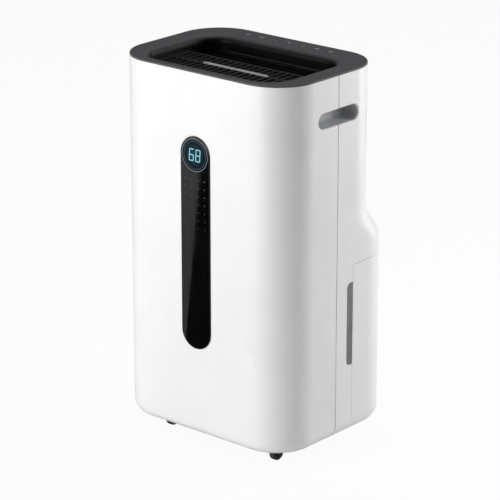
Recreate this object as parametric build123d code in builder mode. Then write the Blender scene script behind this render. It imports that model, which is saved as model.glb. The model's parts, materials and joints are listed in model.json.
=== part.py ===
from build123d import *
import os
from math import cos, radians, sin

# A free-standing compressor dehumidifier with a rear bucket and an upward air outlet.
# Millimetres. X is to the right seen from the front, Y to the rear and Z up.
# The origin is on the floor, under the middle of the outline.

os.makedirs("parts", exist_ok=True)

# ---------------------------------------------------------------- driving dimensions
# Housing
BODY_W = 330.0
UPPER_D = 232.0
BULGE = 34.0  # how far the bucket stands out behind the upper body
BODY_H = 564.0
FLOOR_GAP = 28.0  # from the floor to the underside, held by the casters
CORNER_R = 66.0
BOTTOM_R = 20.0
WALL = 2.8
LIP = 6.0  # flat rim turned in under the body, which carries the base pan
SEAM = 1.8  # open line between the shells
COVER_GAP = 0.6  # open line round the bucket cover
LAP_T = 1.2
LAP_L = 6.0
SPLIT_DEPTH = 123.0  # from the front face to the line between the shells
SHOULDER_TOP = 217.0  # below the top of the body
SHOULDER_H = 60.0
SHOULDER_STEPS = 6

# Clearances
FIT = 0.3  # pieces that only lie beside each other
RUN = 0.05  # radial, pins and shafts that turn
SLIDE = 0.1  # under the bucket

# Top panel, its recess and the keys
TOP_T = 3.0
TOP_EDGE_R = 1.5
SKIRT_T = 2.0
SKIRT_H = 10.0
RECESS_SIDE = 37.0  # from the side face
RECESS_FRONT = 21.5  # from the front face
RECESS_REAR = 47.0  # from the rear face of the upper body
RECESS_R = 38.0
RECESS_ROLL = 11.0  # rolled rim of the recess
RECESS_D = 16.0  # down to the top of the grille
DISH_T = 2.5
LEDGE = 4.0
GRILLE_T = 3.0
GRILLE_L = 105.0
GRILLE_RIM = 5.0
RIB_W = 5.0
RIB_PITCH = 12.0
TRIM_W = 122.0
TRIM_L = 5.5
TRIM_T = 1.6
TRIM_FRONT = 64.0  # from the front edge of the recess
TRIM_BED = 8.0  # solid bar of the grille under the trim
KEY_NAMES = ["power", "mode", "humidity_down", "humidity_up", "fan_speed", "timer", "swing"]
KEY_W = 19.0
KEY_L = 10.0
KEY_PITCH = 26.5
KEY_INSET = 22.0  # from the rear edge to the middle of the keys
KEY_PROUD = 0.4
KEY_TRAVEL = 0.8
KEY_LAND = 1.5  # rim round the shallow dish in a key
KEY_DISH = 0.2
KEY_FLANGE = 1.2
KEY_FLANGE_T = 1.6
KEY_STEM = 1.0
SWITCH_H = 2.5
BOARD_T = 1.6
KEY_BOARD_L = 20.0
POST_R = 2.5  # posts that hold the key board

# Louver in the outlet slot
BLADES = 3
BLADE_PITCH = 18.0
BLADE_CHORD = 16.0
BLADE_T = 3.0
BLADE_ABOVE = 5.0  # chord above the pivot
PIVOT_DROP = 27.5  # pivot below the top of the body
PIVOT_R = 2.0
CRANK = 8.0
CRANK_R = 1.3
LINK_T = 3.0
LINK_H = 6.0
CHEEK_T = 4.0
STEPPER_R = 12.0
STEPPER_OFFSET = 9.0  # its shaft stands above its middle
STEPPER_L = 19.0
STEPPER_EARS = 12.0  # the two screw ears together
STEPPER_EAR_H = 7.0

# Display
LENS_W = 56.0
LENS_H = 327.0
LENS_T = 4.4
LENS_DROP = 97.0  # from the top of the body to the top of the lens
LENS_PROUD = 2.0
LENS_EDGE_R = 1.4
LENS_BED = 2.4
RING_R = 24.0
RING_W = 5.0
DOTS_W = 44.0
DOTS_H = 92.0

# Side grips
GRIP_L = 90.0
GRIP_H = 24.0
GRIP_DEPTH = 24.0
GRIP_DROP = 64.0  # from the top of the body to the middle of the grip
CUP_T = 2.0
CUP_FLANGE = 7.0
GRIP_DRAFT = 14.0  # slope of the walls of the cup, in degrees
GRIP_BACK_R = 5.0
GRIP_EDGE_R = 1.8

# Intake on the back
INTAKE_SIDE = 73.0  # from the side face
INTAKE_H = 172.0
INTAKE_DROP = 26.0  # from the top of the body to the intake
INTAKE_R = 12.0
INTAKE_DEPTH = 9.0
INTAKE_RIM = 9.0
COLLAR_T = 2.5
STOP = 3.0
SLAT_T = 3.0
SLAT_PITCH = 10.0
MESH_T = 0.8

# Bucket
BUCKET_SEAM_DEPTH = 161.0  # from the front face to the line in front of the cover
BUCKET_LOW = 20.0  # from the underside of the body to the line under the cover
BUCKET_COVER_H = 247.0
TUB_INSET = 5.0
TUB_T = 2.5
TUB_H = 218.0
TUB_LIFT = 2.0  # floor of the tub above the line under the cover
TUB_FRONT_GAP = 4.0
TUB_CORNER = 12.0
LID_T = 2.5
LID_SKIRT = 4.0
BAY_DEPTH = 141.0  # from the front face to the wall of the bucket bay
PULL_W = 110.0
PULL_H = 20.0
BAND_H = 8.0
HANDLE_R = 4.0
HANDLE_GRIP_R = 5.0
HANDLE_GRIP_L = 110.0
HANDLE_REACH = 42.0
HANDLE_SIDE = 25.0  # from the side face
HANDLE_ARM = 5.0
HANDLE_PIN_R = 3.0
HANDLE_LIFT = 6.0  # pivot above the lid
EAR_T = 4.0
FLOAT_SIDE = 60.0  # from the side face
FLOAT_PIN_R = 2.0
FLOAT_ARM = 38.0
FLOAT_R = 11.0
FLOAT_L = 40.0
FLOAT_DROP = 22.0  # pivot below the rim of the tub
FLOAT_ANGLE = 50.0  # arm below the horizontal when the bucket is empty
LUG_T = 3.0
WINDOW_W = 13.5
WINDOW_H = 130.0
WINDOW_UP = 110.0  # from the underside of the body to the window
WINDOW_R = 8.0
WINDOW_FLANGE = 3.0
WINDOW_FLANGE_T = 1.2

# Partition, deck and base pan
PAN_T = 3.0
RAIL_SIDE = 95.0  # from the side face
RAIL_W = 5.0
PARTITION_T = 3.0
DECK_RIB_T = 3.0  # ribs under the deck, in front of the wall of the bay
DECK_RIB_L = 12.0
DECK_RIB_H = 40.0
PARTITION_INSET = 5.0
HANDLE_HEADROOM = 6.0
DECK_FRONT = 15.0  # from the front face to the deck

# Fan
FAN_R = 75.0
FAN_W = 58.0
FAN_BLADES = 28
FAN_BLADE_L = 14.0
FAN_BLADE_T = 1.6
FAN_PLATE_T = 2.0
SCROLL_T = 2.5
SCROLL_D = 74.0
SCROLL_REAR = 75.0  # from the rear face of the upper body to the back of the scroll
SCROLL_STEP = 12.0  # growth of the scroll in each quarter turn
SCROLL_GAP = 8.0
SCROLL_FOOT = 3.0
SCROLL_FOOT_X = 30.0
SCROLL_FOOT_W = 8.0
SCROLL_FOOT_H = 14.0
DUCT_LAP = 1.5  # how far the wall behind the louver stands behind the recess
INLET_R = 60.0
SHAFT_R = 4.0
HUB_R = 13.0
HUB_L = 24.0
MOTOR_R = 45.0
MOTOR_L = 50.0
MOTOR_FLANGE_T = 2.0

# Refrigerant circuit
COIL_SIDE = 70.0  # from the side face to the fins
COIL_H = 200.0
COIL_T = 22.0
COIL_GAP = 8.0  # between the condenser and the evaporator
COIL_PLATE = 1.5
FIN_PITCH = 6.0
FIN_SLOT = 2.4
FIN_DEPTH = 4.0
TUBE_R = 4.0
TUBE_ROWS = 6
TRAY_T = 2.5
TRAY_H = 14.0
TRAY_RIB = 8.0
SPIGOT_L = 12.0  # of the tray, below the deck
TRAY_MARGIN = 5.0
COMPRESSOR_R = 54.0
COMPRESSOR_H = 190.0
COMPRESSOR_DEPTH = 68.0  # from the front face to its axis
FOOT_R = 11.0
FOOT_H = 14.0
FOOT_CIRCLE = 54.0
PLATE_T = 3.0
ACCUMULATOR_R = 22.0
ACCUMULATOR_H = 120.0
ACCUMULATOR_GAP = 8.0
ACCUMULATOR_UP = 35.0  # from the compressor's foot plate
SUCTION_OUT = 25.0  # the suction pipe's hole, behind the middle of the compressor
DRIER_R = 9.0
DRIER_L = 60.0
PIPE_R = 4.0
PIPE_BEND = 14.0
DRIER_DROP = 40.0  # from the last row of the coils to the drier
RUN_DROP = 35.0  # from the deck to the highest run of pipe under it
RUN_GAP = 30.0  # between two runs of pipe

# Electrics and drain
BOX_W = 32.0
BOX_D = 50.0
BOX_H = 90.0
BOX_SIDE = 41.0  # from the side face
BOX_FRONT = 25.0  # from the front face
CAPACITOR_R = 14.0
CAPACITOR_H = 52.0
CAPACITOR_SIDE = 37.0  # from the side face
CAPACITOR_FRONT = 41.0  # from the front face to its axis
SPOUT_R = 7.0
SPOUT_CUP_R = 20.0
SPOUT_DEPTH = 18.0
SPOUT_UP = 270.0  # from the underside of the body
SPOUT_DEPTH_Y = 90.0  # from the front face
HOSE_R = 5.0
HOSE_SIDE = 37.0  # from the side face
HOSE_BEND = 14.0
GLAND_R = 7.0
GLAND_BORE = 3.6
GLAND_UP = 332.0  # from the underside of the body
GLAND_FRONT = 145.0  # from the front face
GLAND_FLANGE = 3.0
SCREW_R = 1.5
SCREW_HEAD_R = 3.0
SCREW_L = 9.0
SCREW_Y = 55.0

# Casters
CASTER_SIDE = 61.0  # from the side face
CASTER_INSET_FRONT = 52.0  # swivel axis behind the front face
CASTER_INSET_REAR = 66.0  # swivel axis before the rear face of the bucket
WHEEL_R = 12.0
WHEEL_W = 10.0
AXLE_R = 2.5
TRAIL = 8.0
FORK_T = 3.0
FORK_GAP = 0.5
SWIVEL_R = 5.0
SWIVEL_H = 5.5
SWIVEL_DISC_R = 15.0
WELL_R = 26.0
WELL_H = 12.0  # roof of the well above the underside of the body

# ---------------------------------------------------------------- places worked out from them
LOWER_D = UPPER_D + BULGE
FRONT_Y = -(LOWER_D - LENS_PROUD) / 2
REAR_Y = FRONT_Y + UPPER_D
BULGE_Y = FRONT_Y + LOWER_D
BASE_Z = FLOOR_GAP
TOP_Z = BASE_Z + BODY_H
SHELL_TOP = TOP_Z - TOP_T
SHOULDER_Z = TOP_Z - SHOULDER_TOP - SHOULDER_H
SPLIT_Y = FRONT_Y + SPLIT_DEPTH
SIDE_X = BODY_W / 2
RECESS_W = BODY_W - 2 * RECESS_SIDE
RECESS_L = UPPER_D - RECESS_FRONT - RECESS_REAR
INTAKE_W = BODY_W - 2 * INTAKE_SIDE
HANDLE_SPAN = BODY_W - 2 * HANDLE_SIDE
COIL_W = BODY_W - 2 * COIL_SIDE
FLOAT_X = SIDE_X - FLOAT_SIDE
RAIL_X = SIDE_X - RAIL_SIDE
BOX_X = SIDE_X - BOX_SIDE
CAPACITOR_X = SIDE_X - CAPACITOR_SIDE
HOSE_X = SIDE_X - HOSE_SIDE
CASTER_X = SIDE_X - CASTER_SIDE

PAN_Z = BASE_Z + WALL
PAN_TOP = PAN_Z + PAN_T
PAN_INSET = BOTTOM_R + 0.5
WELL_ROOF = BASE_Z + WELL_H

BUCKET_Y = FRONT_Y + BUCKET_SEAM_DEPTH
BUCKET_Z = BASE_Z + BUCKET_LOW
BUCKET_TOP = BUCKET_Z + BUCKET_COVER_H
BAY_Y = FRONT_Y + BAY_DEPTH
TUB_Z = BUCKET_Z + TUB_LIFT
TUB_Y = BAY_Y + TUB_FRONT_GAP
RIM_Z = TUB_Z + TUB_H
LID_TOP = RIM_Z + LID_T
HANDLE_Z = LID_TOP + HANDLE_LIFT
HANDLE_Y = TUB_Y + HANDLE_REACH + HANDLE_GRIP_R + 7
DECK_Z = HANDLE_Z + HANDLE_REACH + HANDLE_GRIP_R + HANDLE_HEADROOM
DECK_TOP = DECK_Z + PARTITION_T

RECESS_Y0 = FRONT_Y + RECESS_FRONT
RECESS_Y1 = RECESS_Y0 + RECESS_L
GRILLE_TOP = TOP_Z - RECESS_D
GRILLE_Z = GRILLE_TOP - GRILLE_T
GRILLE_Y1 = RECESS_Y0 + GRILLE_L
DISH_Z = GRILLE_Z - DISH_T
PIVOT_Z = TOP_Z - PIVOT_DROP
SLOT_Y = (GRILLE_Y1 + RECESS_Y1) / 2
CHEEK_X = RECESS_W / 2 - CHEEK_T
CHEEK_Z = PIVOT_Z - BLADE_CHORD + BLADE_ABOVE - 1
BLADE_END = CHEEK_X - LINK_T - 3 * FIT - 1.5

LENS_Z = TOP_Z - LENS_DROP - LENS_H / 2
RING_Z = TOP_Z - LENS_DROP - LENS_W / 2
BED_Y = FRONT_Y - LENS_PROUD + LENS_T
BED_BACK = BED_Y + LENS_BED
GRIP_Z = TOP_Z - GRIP_DROP
INTAKE_Z = TOP_Z - INTAKE_DROP - INTAKE_H / 2
STOP_Y = REAR_Y - INTAKE_DEPTH

TRAY_Z = DECK_TOP
COIL_Z = TRAY_Z + TRAY_T + TRAY_RIB
EVAPORATOR_Y = STOP_Y - STOP - 3 - COIL_T / 2
CONDENSER_Y = EVAPORATOR_Y - COIL_T - COIL_GAP
SCROLL_Y1 = REAR_Y - SCROLL_REAR
SCROLL_Y0 = SCROLL_Y1 - SCROLL_D
FAN_Z = DECK_TOP + SCROLL_FOOT + SCROLL_T + FAN_R + SCROLL_GAP + 2 * SCROLL_STEP
SCROLL_TOP = CHEEK_Z - 1
MOTOR_Y1 = SCROLL_Y0
SPOUT_Z = BASE_Z + SPOUT_UP
SPOUT_Y = FRONT_Y + SPOUT_DEPTH_Y
GLAND_Y = FRONT_Y + GLAND_FRONT
GLAND_Z = BASE_Z + GLAND_UP
COMPRESSOR_Y = FRONT_Y + COMPRESSOR_DEPTH
COMPRESSOR_Z = PAN_TOP + FOOT_H


# ---------------------------------------------------------------- shared shapes
def level(z):
    return Plane.XY.offset(z)


# Faces the front; sketch x is X and sketch y is Z.
def facing_front(y):
    return Plane.XZ.offset(-y)


# Faces the right side; sketch x is Y and sketch y is Z.
def facing_right(x):
    return Plane.YZ.offset(x)


def block(x0, x1, y0, y1, z0, z1, mode=Mode.ADD):
    with Locations(((x0 + x1) / 2, (y0 + y1) / 2, (z0 + z1) / 2)):
        Box(x1 - x0, y1 - y0, z1 - z0, mode=mode)


def body_plan(depth, inset):
    with Locations((0, FRONT_Y + depth / 2)):
        RectangleRounded(BODY_W - 2 * inset, depth - 2 * inset, CORNER_R - inset)


# The outer form of the body, or the same form set in by a wall. The lower part is deeper,
# and a smooth shoulder leads from the upper part's back to the bucket's.
def body_form(inset):
    floor = BASE_Z + inset
    with BuildPart() as form:
        with BuildSketch(level(floor)):
            body_plan(LOWER_D, inset)
        extrude(amount=SHOULDER_Z - floor)
        for step in range(SHOULDER_STEPS + 1):
            share = step / SHOULDER_STEPS
            eased = share * share * (3 - 2 * share)
            with BuildSketch(level(SHOULDER_Z + SHOULDER_H * share)):
                body_plan(LOWER_D - BULGE * eased, inset)
        loft()
        with BuildSketch(level(SHOULDER_Z + SHOULDER_H)):
            body_plan(UPPER_D, inset)
        extrude(amount=SHELL_TOP - SHOULDER_Z - SHOULDER_H)
        fillet(form.edges().group_by(Axis.Z)[0], BOTTOM_R - inset)
    return form.part


def save(piece, label):
    piece.part.label = label
    export_step(piece.part, "parts/" + label + ".step")


outer_form = body_form(0)
inner_form = body_form(WALL)
lap_form = body_form(WALL + LAP_T)
partition_form = body_form(PARTITION_INSET)

# ---------------------------------------------------------------- housing shells
# The shell before it is parted: open at the top, with a flat rim turned in below, the two
# side grips cut through on the line between the halves, and the screw holes in the rim.
SCREW_X = SIDE_X - PAN_INSET - (LIP - 0.5) / 2
SCREW_SPOTS = [(x, y) for x in (-SCREW_X, SCREW_X) for y in (-SCREW_Y, 0, SCREW_Y)]

with BuildPart() as shell:
    add(outer_form)
    add(inner_form, mode=Mode.SUBTRACT)
    with BuildSketch(level(BASE_Z)):
        body_plan(LOWER_D, BOTTOM_R + LIP)
    extrude(amount=WALL, mode=Mode.SUBTRACT)
    with BuildSketch(level(BASE_Z)):
        with Locations(*SCREW_SPOTS):
            Circle(SCREW_R + FIT / 2)
    extrude(amount=WALL, mode=Mode.SUBTRACT)
    with BuildSketch(facing_right(0)):
        with Locations((SPLIT_Y, GRIP_Z)):
            SlotOverall(GRIP_L, GRIP_H)
    extrude(amount=SIDE_X, both=True, mode=Mode.SUBTRACT)
    for side in (-1, 1):
        rim = shell.edges().filter_by_position(Axis.Z, GRIP_Z - GRIP_H / 2, GRIP_Z + GRIP_H / 2)
        rim = rim.filter_by(lambda edge: side * edge.center().X > SIDE_X - 1)
        fillet(rim, GRIP_EDGE_R)

# A thin strip inside the front shell, which runs behind the rear one and lines them up.
with BuildPart() as lap:
    add(inner_form)
    add(lap_form, mode=Mode.SUBTRACT)
    split(bisect_by=facing_front(SPLIT_Y - LAP_L), keep=Keep.BOTTOM)
    split(bisect_by=facing_front(SPLIT_Y + LAP_L), keep=Keep.TOP)
    block(-SIDE_X, SIDE_X, FRONT_Y, BULGE_Y, BASE_Z, WELL_ROOF + 10, mode=Mode.SUBTRACT)
    block(-SIDE_X, SIDE_X, FRONT_Y, BULGE_Y, SHELL_TOP - SKIRT_H - 2, TOP_Z, mode=Mode.SUBTRACT)
    with BuildSketch(facing_right(0)):
        with Locations((SPLIT_Y, GRIP_Z)):
            SlotOverall(GRIP_L + 2 * CUP_FLANGE + 2, GRIP_H + 2 * CUP_FLANGE + 2)
    extrude(amount=SIDE_X, both=True, mode=Mode.SUBTRACT)

with BuildPart() as front_housing:
    add(shell.part)
    split(bisect_by=facing_front(SPLIT_Y - SEAM / 2), keep=Keep.TOP)
    add(lap.part)
    # a raised bed inside, the pocket for the long lens, and the windows behind it
    with BuildSketch(facing_front(BED_BACK)):
        with Locations((0, LENS_Z)):
            SlotOverall(LENS_H + 10, LENS_W + 10, rotation=90)
    extrude(amount=BED_BACK - FRONT_Y - WALL)
    with BuildSketch(facing_front(BED_Y)):
        with Locations((0, LENS_Z)):
            SlotOverall(LENS_H + 2 * FIT, LENS_W + 2 * FIT, rotation=90)
    extrude(amount=LENS_T + 1, mode=Mode.SUBTRACT)
    with BuildSketch(facing_front(BED_BACK)):
        with Locations((0, RING_Z)):
            Circle(RING_R + 1)
        with Locations((0, RING_Z - DOTS_H / 2 - RING_R / 2)):
            Rectangle(DOTS_W, DOTS_H)
    extrude(amount=LENS_BED, mode=Mode.SUBTRACT)
    # the drain outlet in the left side
    with BuildSketch(facing_right(-SIDE_X)):
        with Locations((SPOUT_Y, SPOUT_Z)):
            Circle(SPOUT_CUP_R)
    extrude(amount=WALL, mode=Mode.SUBTRACT)
save(front_housing, "front_housing")

with BuildPart() as rear_housing:
    add(shell.part)
    split(bisect_by=facing_front(SPLIT_Y + SEAM / 2), keep=Keep.BOTTOM)
    # the bay that the bucket cover closes
    block(-SIDE_X - 1, SIDE_X + 1, BUCKET_Y, BULGE_Y + 1, BUCKET_Z, BUCKET_TOP, mode=Mode.SUBTRACT)
    # the collar that the intake frame slides into, with a stop at its inner end
    with BuildSketch(facing_front(REAR_Y - WALL)):
        with Locations((0, INTAKE_Z)):
            RectangleRounded(INTAKE_W + 2 * COLLAR_T, INTAKE_H + 2 * COLLAR_T, INTAKE_R + COLLAR_T)
    extrude(amount=INTAKE_DEPTH + STOP - WALL)
    with BuildSketch(facing_front(REAR_Y)):
        with Locations((0, INTAKE_Z)):
            RectangleRounded(INTAKE_W + 2 * FIT, INTAKE_H + 2 * FIT, INTAKE_R + FIT)
    extrude(amount=INTAKE_DEPTH, mode=Mode.SUBTRACT)
    with BuildSketch(facing_front(REAR_Y)):
        with Locations((0, INTAKE_Z)):
            RectangleRounded(INTAKE_W - 2 * STOP, INTAKE_H - 2 * STOP, INTAKE_R - STOP)
    extrude(amount=INTAKE_DEPTH + STOP, mode=Mode.SUBTRACT)
    # the notch for the water-level window, open to the line in front of the bucket
    with BuildSketch(facing_right(SIDE_X)) as notch:
        with Locations((BUCKET_Y - WINDOW_W / 2, BASE_Z + WINDOW_UP + WINDOW_H / 2)):
            Rectangle(WINDOW_W, WINDOW_H)
        fillet(notch.vertices().group_by(Axis.X)[0], WINDOW_R)
    extrude(amount=-WALL, mode=Mode.SUBTRACT)
    # the cord outlet in the left side
    with BuildSketch(facing_right(-SIDE_X)):
        with Locations((GLAND_Y, GLAND_Z)):
            Circle(GLAND_R)
    extrude(amount=WALL, mode=Mode.SUBTRACT)
save(rear_housing, "rear_housing")


# ---------------------------------------------------------------- base, partition and small shell pieces
CASTER_SPOTS = {
    "front_left": (-CASTER_X, FRONT_Y + CASTER_INSET_FRONT),
    "front_right": (CASTER_X, FRONT_Y + CASTER_INSET_FRONT),
    "rear_left": (-CASTER_X, BULGE_Y - CASTER_INSET_REAR),
    "rear_right": (CASTER_X, BULGE_Y - CASTER_INSET_REAR),
}
FOOT_SPOTS = [
    (FOOT_CIRCLE * cos(radians(a)), COMPRESSOR_Y + FOOT_CIRCLE * sin(radians(a)))
    for a in (90, 210, 330)
]

with BuildPart() as base_pan:
    with BuildSketch(level(PAN_Z)):
        body_plan(LOWER_D, PAN_INSET)
    extrude(amount=PAN_T)
    # caster wells, closed above, with a socket for the swivel
    with BuildSketch(level(PAN_Z)):
        with Locations(*CASTER_SPOTS.values()):
            Circle(WELL_R + PAN_T)
    extrude(amount=WELL_ROOF - PAN_Z)
    with BuildSketch(level(PAN_Z)):
        with Locations(*CASTER_SPOTS.values()):
            Circle(WELL_R)
    extrude(amount=WELL_ROOF - PAN_Z - PAN_T, mode=Mode.SUBTRACT)
    with BuildSketch(level(WELL_ROOF - SWIVEL_H - FIT)):
        with Locations(*CASTER_SPOTS.values()):
            Circle(SWIVEL_R + PAN_T)
    extrude(amount=SWIVEL_H + FIT)
    with BuildSketch(level(WELL_ROOF - SWIVEL_H - FIT)):
        with Locations(*CASTER_SPOTS.values()):
            Circle(SWIVEL_R + RUN)
    extrude(amount=SWIVEL_H + FIT, mode=Mode.SUBTRACT)
    # rails that the bucket slides on
    for x in (-RAIL_X, RAIL_X):
        block(x - RAIL_W / 2, x + RAIL_W / 2, BAY_Y, BULGE_Y - PAN_INSET - 4, PAN_TOP, TUB_Z - SLIDE)
    with BuildSketch(level(PAN_Z)):
        with Locations(*SCREW_SPOTS):
            Circle(SCREW_R + FIT / 2)
    extrude(amount=PAN_T, mode=Mode.SUBTRACT)
save(base_pan, "base_pan")

# The bay wall stands on the pan and carries the deck for the fan and the coils.
HOSE_HOLE = (-HOSE_X + 4, SPOUT_Y)
DISCHARGE_X = COIL_W / 2 + 18
SUCTION_X = DISCHARGE_X + 19
SUCTION_Y = COMPRESSOR_Y + SUCTION_OUT
DRIP_X = -COIL_W / 4
DRIP_Y = EVAPORATOR_Y + 8
with BuildPart() as partition:
    block(-SIDE_X, SIDE_X, BAY_Y - PARTITION_T, BAY_Y, PAN_TOP, DECK_Z)
    block(-SIDE_X, SIDE_X, FRONT_Y + DECK_FRONT, BULGE_Y, DECK_Z, DECK_TOP)
    for x in (-RAIL_X, 0, RAIL_X):
        rib_y = (BAY_Y - PARTITION_T - DECK_RIB_L, BAY_Y - PARTITION_T)
        block(x - DECK_RIB_T / 2, x + DECK_RIB_T / 2, *rib_y, DECK_Z - DECK_RIB_H, DECK_Z)
    add(partition_form, mode=Mode.INTERSECT)
    with BuildSketch(level(DECK_Z)):
        with Locations(HOSE_HOLE):
            SlotOverall(2 * HOSE_R + 12, 2 * HOSE_R + 2)
        with Locations((DISCHARGE_X, COMPRESSOR_Y), (SUCTION_X, SUCTION_Y)):
            Circle(PIPE_R + 2)
        with Locations((DRIP_X, DRIP_Y)):
            Circle(HOSE_R + 1)
    extrude(amount=PARTITION_T, mode=Mode.SUBTRACT)
save(partition, "partition")

with BuildPart() as level_window:
    with BuildSketch(facing_right(SIDE_X)) as pane:
        with Locations((BUCKET_Y - WINDOW_W / 2 + FIT / 2, BASE_Z + WINDOW_UP + WINDOW_H / 2)):
            Rectangle(WINDOW_W - FIT, WINDOW_H - 2 * FIT)
        fillet(pane.vertices().group_by(Axis.X)[0], WINDOW_R - FIT)
    extrude(amount=-WALL)
    with BuildSketch(facing_right(SIDE_X - WALL)):
        with Locations((BUCKET_Y - (WINDOW_W + WINDOW_FLANGE) / 2, BASE_Z + WINDOW_UP + WINDOW_H / 2)):
            Rectangle(WINDOW_W + WINDOW_FLANGE, WINDOW_H + 2 * WINDOW_FLANGE)
    extrude(amount=-WINDOW_FLANGE_T)
save(level_window, "level_window")

# The hollow of a grip, behind the shell, or the same form with a wall's thickness round it.
def grip_form(side, margin):
    with BuildPart() as form:
        with BuildSketch(facing_right(side * (SIDE_X - WALL))):
            with Locations((SPLIT_Y, GRIP_Z)):
                SlotOverall(GRIP_L + 2 * margin, GRIP_H + 2 * margin)
        extrude(amount=-side * (GRIP_DEPTH - WALL - CUP_T + margin), taper=GRIP_DRAFT)
        back = form.faces().sort_by(Axis.X)[0 if side > 0 else -1]
        fillet(back.edges(), GRIP_BACK_R + margin)
    return form.part


# One cup for each side, trimmed to the inside of the shell so that its flange lies against it.
for side, label in ((-1, "grip_cup_left"), (1, "grip_cup_right")):
    with BuildPart() as grip_cup:
        with BuildSketch(facing_right(side * (SIDE_X - WALL))):
            with Locations((SPLIT_Y, GRIP_Z)):
                SlotOverall(GRIP_L + 2 * CUP_FLANGE, GRIP_H + 2 * CUP_FLANGE)
        extrude(amount=-side * CUP_T)
        add(grip_form(side, CUP_T))
        add(grip_form(side, 0), mode=Mode.SUBTRACT)
        add(inner_form, mode=Mode.INTERSECT)
    save(grip_cup, label)

# ---------------------------------------------------------------- top panel, grille and keys
KEY_Y = REAR_Y - KEY_INSET
KEY_SPOTS = [((i - (len(KEY_NAMES) - 1) / 2) * KEY_PITCH, KEY_Y) for i in range(len(KEY_NAMES))]
FLANGE_TOP = SHELL_TOP - FIT
STEM_Z = FLANGE_TOP - KEY_FLANGE_T - KEY_STEM
SWITCH_TOP = STEM_Z - KEY_TRAVEL - SLIDE
BOARD_Z = SWITCH_TOP - SWITCH_H - BOARD_T
POST_X = KEY_SPOTS[-1][0] + KEY_W / 2 + POST_R + 2
POST_SPOTS = [(x, y) for x in (-POST_X, POST_X) for y in (KEY_Y - 3, KEY_Y + 10)]
PIVOT_SPOTS = [(SLOT_Y + (i - (BLADES - 1) / 2) * BLADE_PITCH, PIVOT_Z) for i in range(BLADES)]


def recess_plan(margin, mode=Mode.ADD):
    with Locations((0, (RECESS_Y0 + RECESS_Y1) / 2)):
        RectangleRounded(RECESS_W + 2 * margin, RECESS_L + 2 * margin, RECESS_R + margin, mode=mode)


with BuildPart() as top_panel:
    with BuildSketch(level(SHELL_TOP)):
        body_plan(UPPER_D, 0)
    extrude(amount=TOP_T)
    fillet(top_panel.edges().group_by(Axis.Z)[-1], TOP_EDGE_R)
    # skirt that drops inside the shells
    with BuildSketch(level(SHELL_TOP - SKIRT_H)):
        body_plan(UPPER_D, WALL + FIT)
        offset(amount=-SKIRT_T, mode=Mode.SUBTRACT)
    extrude(amount=SKIRT_H)
    # walls of the dish, thick enough under its rolled rim, and a ledge for the grille
    with BuildSketch(level(DISH_Z)):
        recess_plan(DISH_T)
    extrude(amount=SHELL_TOP - DISH_Z)
    with BuildSketch(level(TOP_Z - RECESS_ROLL - 1)):
        recess_plan(RECESS_ROLL + 1)
    extrude(amount=RECESS_ROLL + 1 - TOP_T)
    with BuildSketch(level(GRILLE_Z)):
        recess_plan(0)
    extrude(amount=TOP_Z - GRILLE_Z, mode=Mode.SUBTRACT)
    with BuildSketch(level(DISH_Z)):
        recess_plan(-LEDGE)
    extrude(amount=DISH_T, mode=Mode.SUBTRACT)
    fillet(top_panel.faces().sort_by(Axis.Z)[-1].inner_wires()[0].edges(), RECESS_ROLL)
    # cheeks that carry the louver blades
    for x in (-RECESS_W / 2 + CHEEK_T / 2, RECESS_W / 2 - CHEEK_T / 2):
        block(x - CHEEK_T / 2, x + CHEEK_T / 2, GRILLE_Y1, RECESS_Y1, CHEEK_Z, DISH_Z)
    with BuildSketch(facing_right(0)):
        with Locations(*PIVOT_SPOTS):
            Circle(PIVOT_R + RUN)
    extrude(amount=RECESS_W / 2, both=True, mode=Mode.SUBTRACT)
    # key openings and the posts of the key board
    with BuildSketch(level(SHELL_TOP)):
        with Locations(*KEY_SPOTS):
            SlotOverall(KEY_W + 2 * FIT, KEY_L + 2 * FIT)
    extrude(amount=TOP_T, mode=Mode.SUBTRACT)
    with BuildSketch(level(BOARD_Z + BOARD_T)):
        with Locations(*POST_SPOTS):
            Circle(POST_R)
    extrude(amount=SHELL_TOP - BOARD_Z - BOARD_T)
save(top_panel, "top_panel")

TRIM_Y = RECESS_Y0 + TRIM_FRONT + TRIM_L / 2
with BuildPart() as outlet_grille:
    with BuildSketch(level(GRILLE_Z)):
        recess_plan(-FIT)
        with Locations((0, GRILLE_Y1 + RECESS_L / 2)):
            Rectangle(RECESS_W, RECESS_L, mode=Mode.SUBTRACT)
    extrude(amount=GRILLE_T)
    with BuildSketch(level(GRILLE_Z)):
        with GridLocations(RIB_PITCH, 1, int((RECESS_W - 2 * GRILLE_RIM) / RIB_PITCH), 1):
            Rectangle(RIB_PITCH - RIB_W, 3 * RECESS_L)
        recess_plan(-FIT - GRILLE_RIM, mode=Mode.INTERSECT)
        with Locations((0, GRILLE_Y1 - GRILLE_RIM + RECESS_L / 2)):
            Rectangle(RECESS_W, RECESS_L, mode=Mode.SUBTRACT)
        with Locations((0, TRIM_Y)):
            Rectangle(RECESS_W, TRIM_BED, mode=Mode.SUBTRACT)
    extrude(amount=GRILLE_T, mode=Mode.SUBTRACT)
save(outlet_grille, "outlet_grille")

with BuildPart() as outlet_trim:
    with BuildSketch(level(GRILLE_TOP)):
        with Locations((0, TRIM_Y)):
            RectangleRounded(TRIM_W, TRIM_L, 2)
    extrude(amount=TRIM_T)
    fillet(outlet_trim.edges().group_by(Axis.Z)[-1], 0.6)
save(outlet_trim, "outlet_trim")

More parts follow.
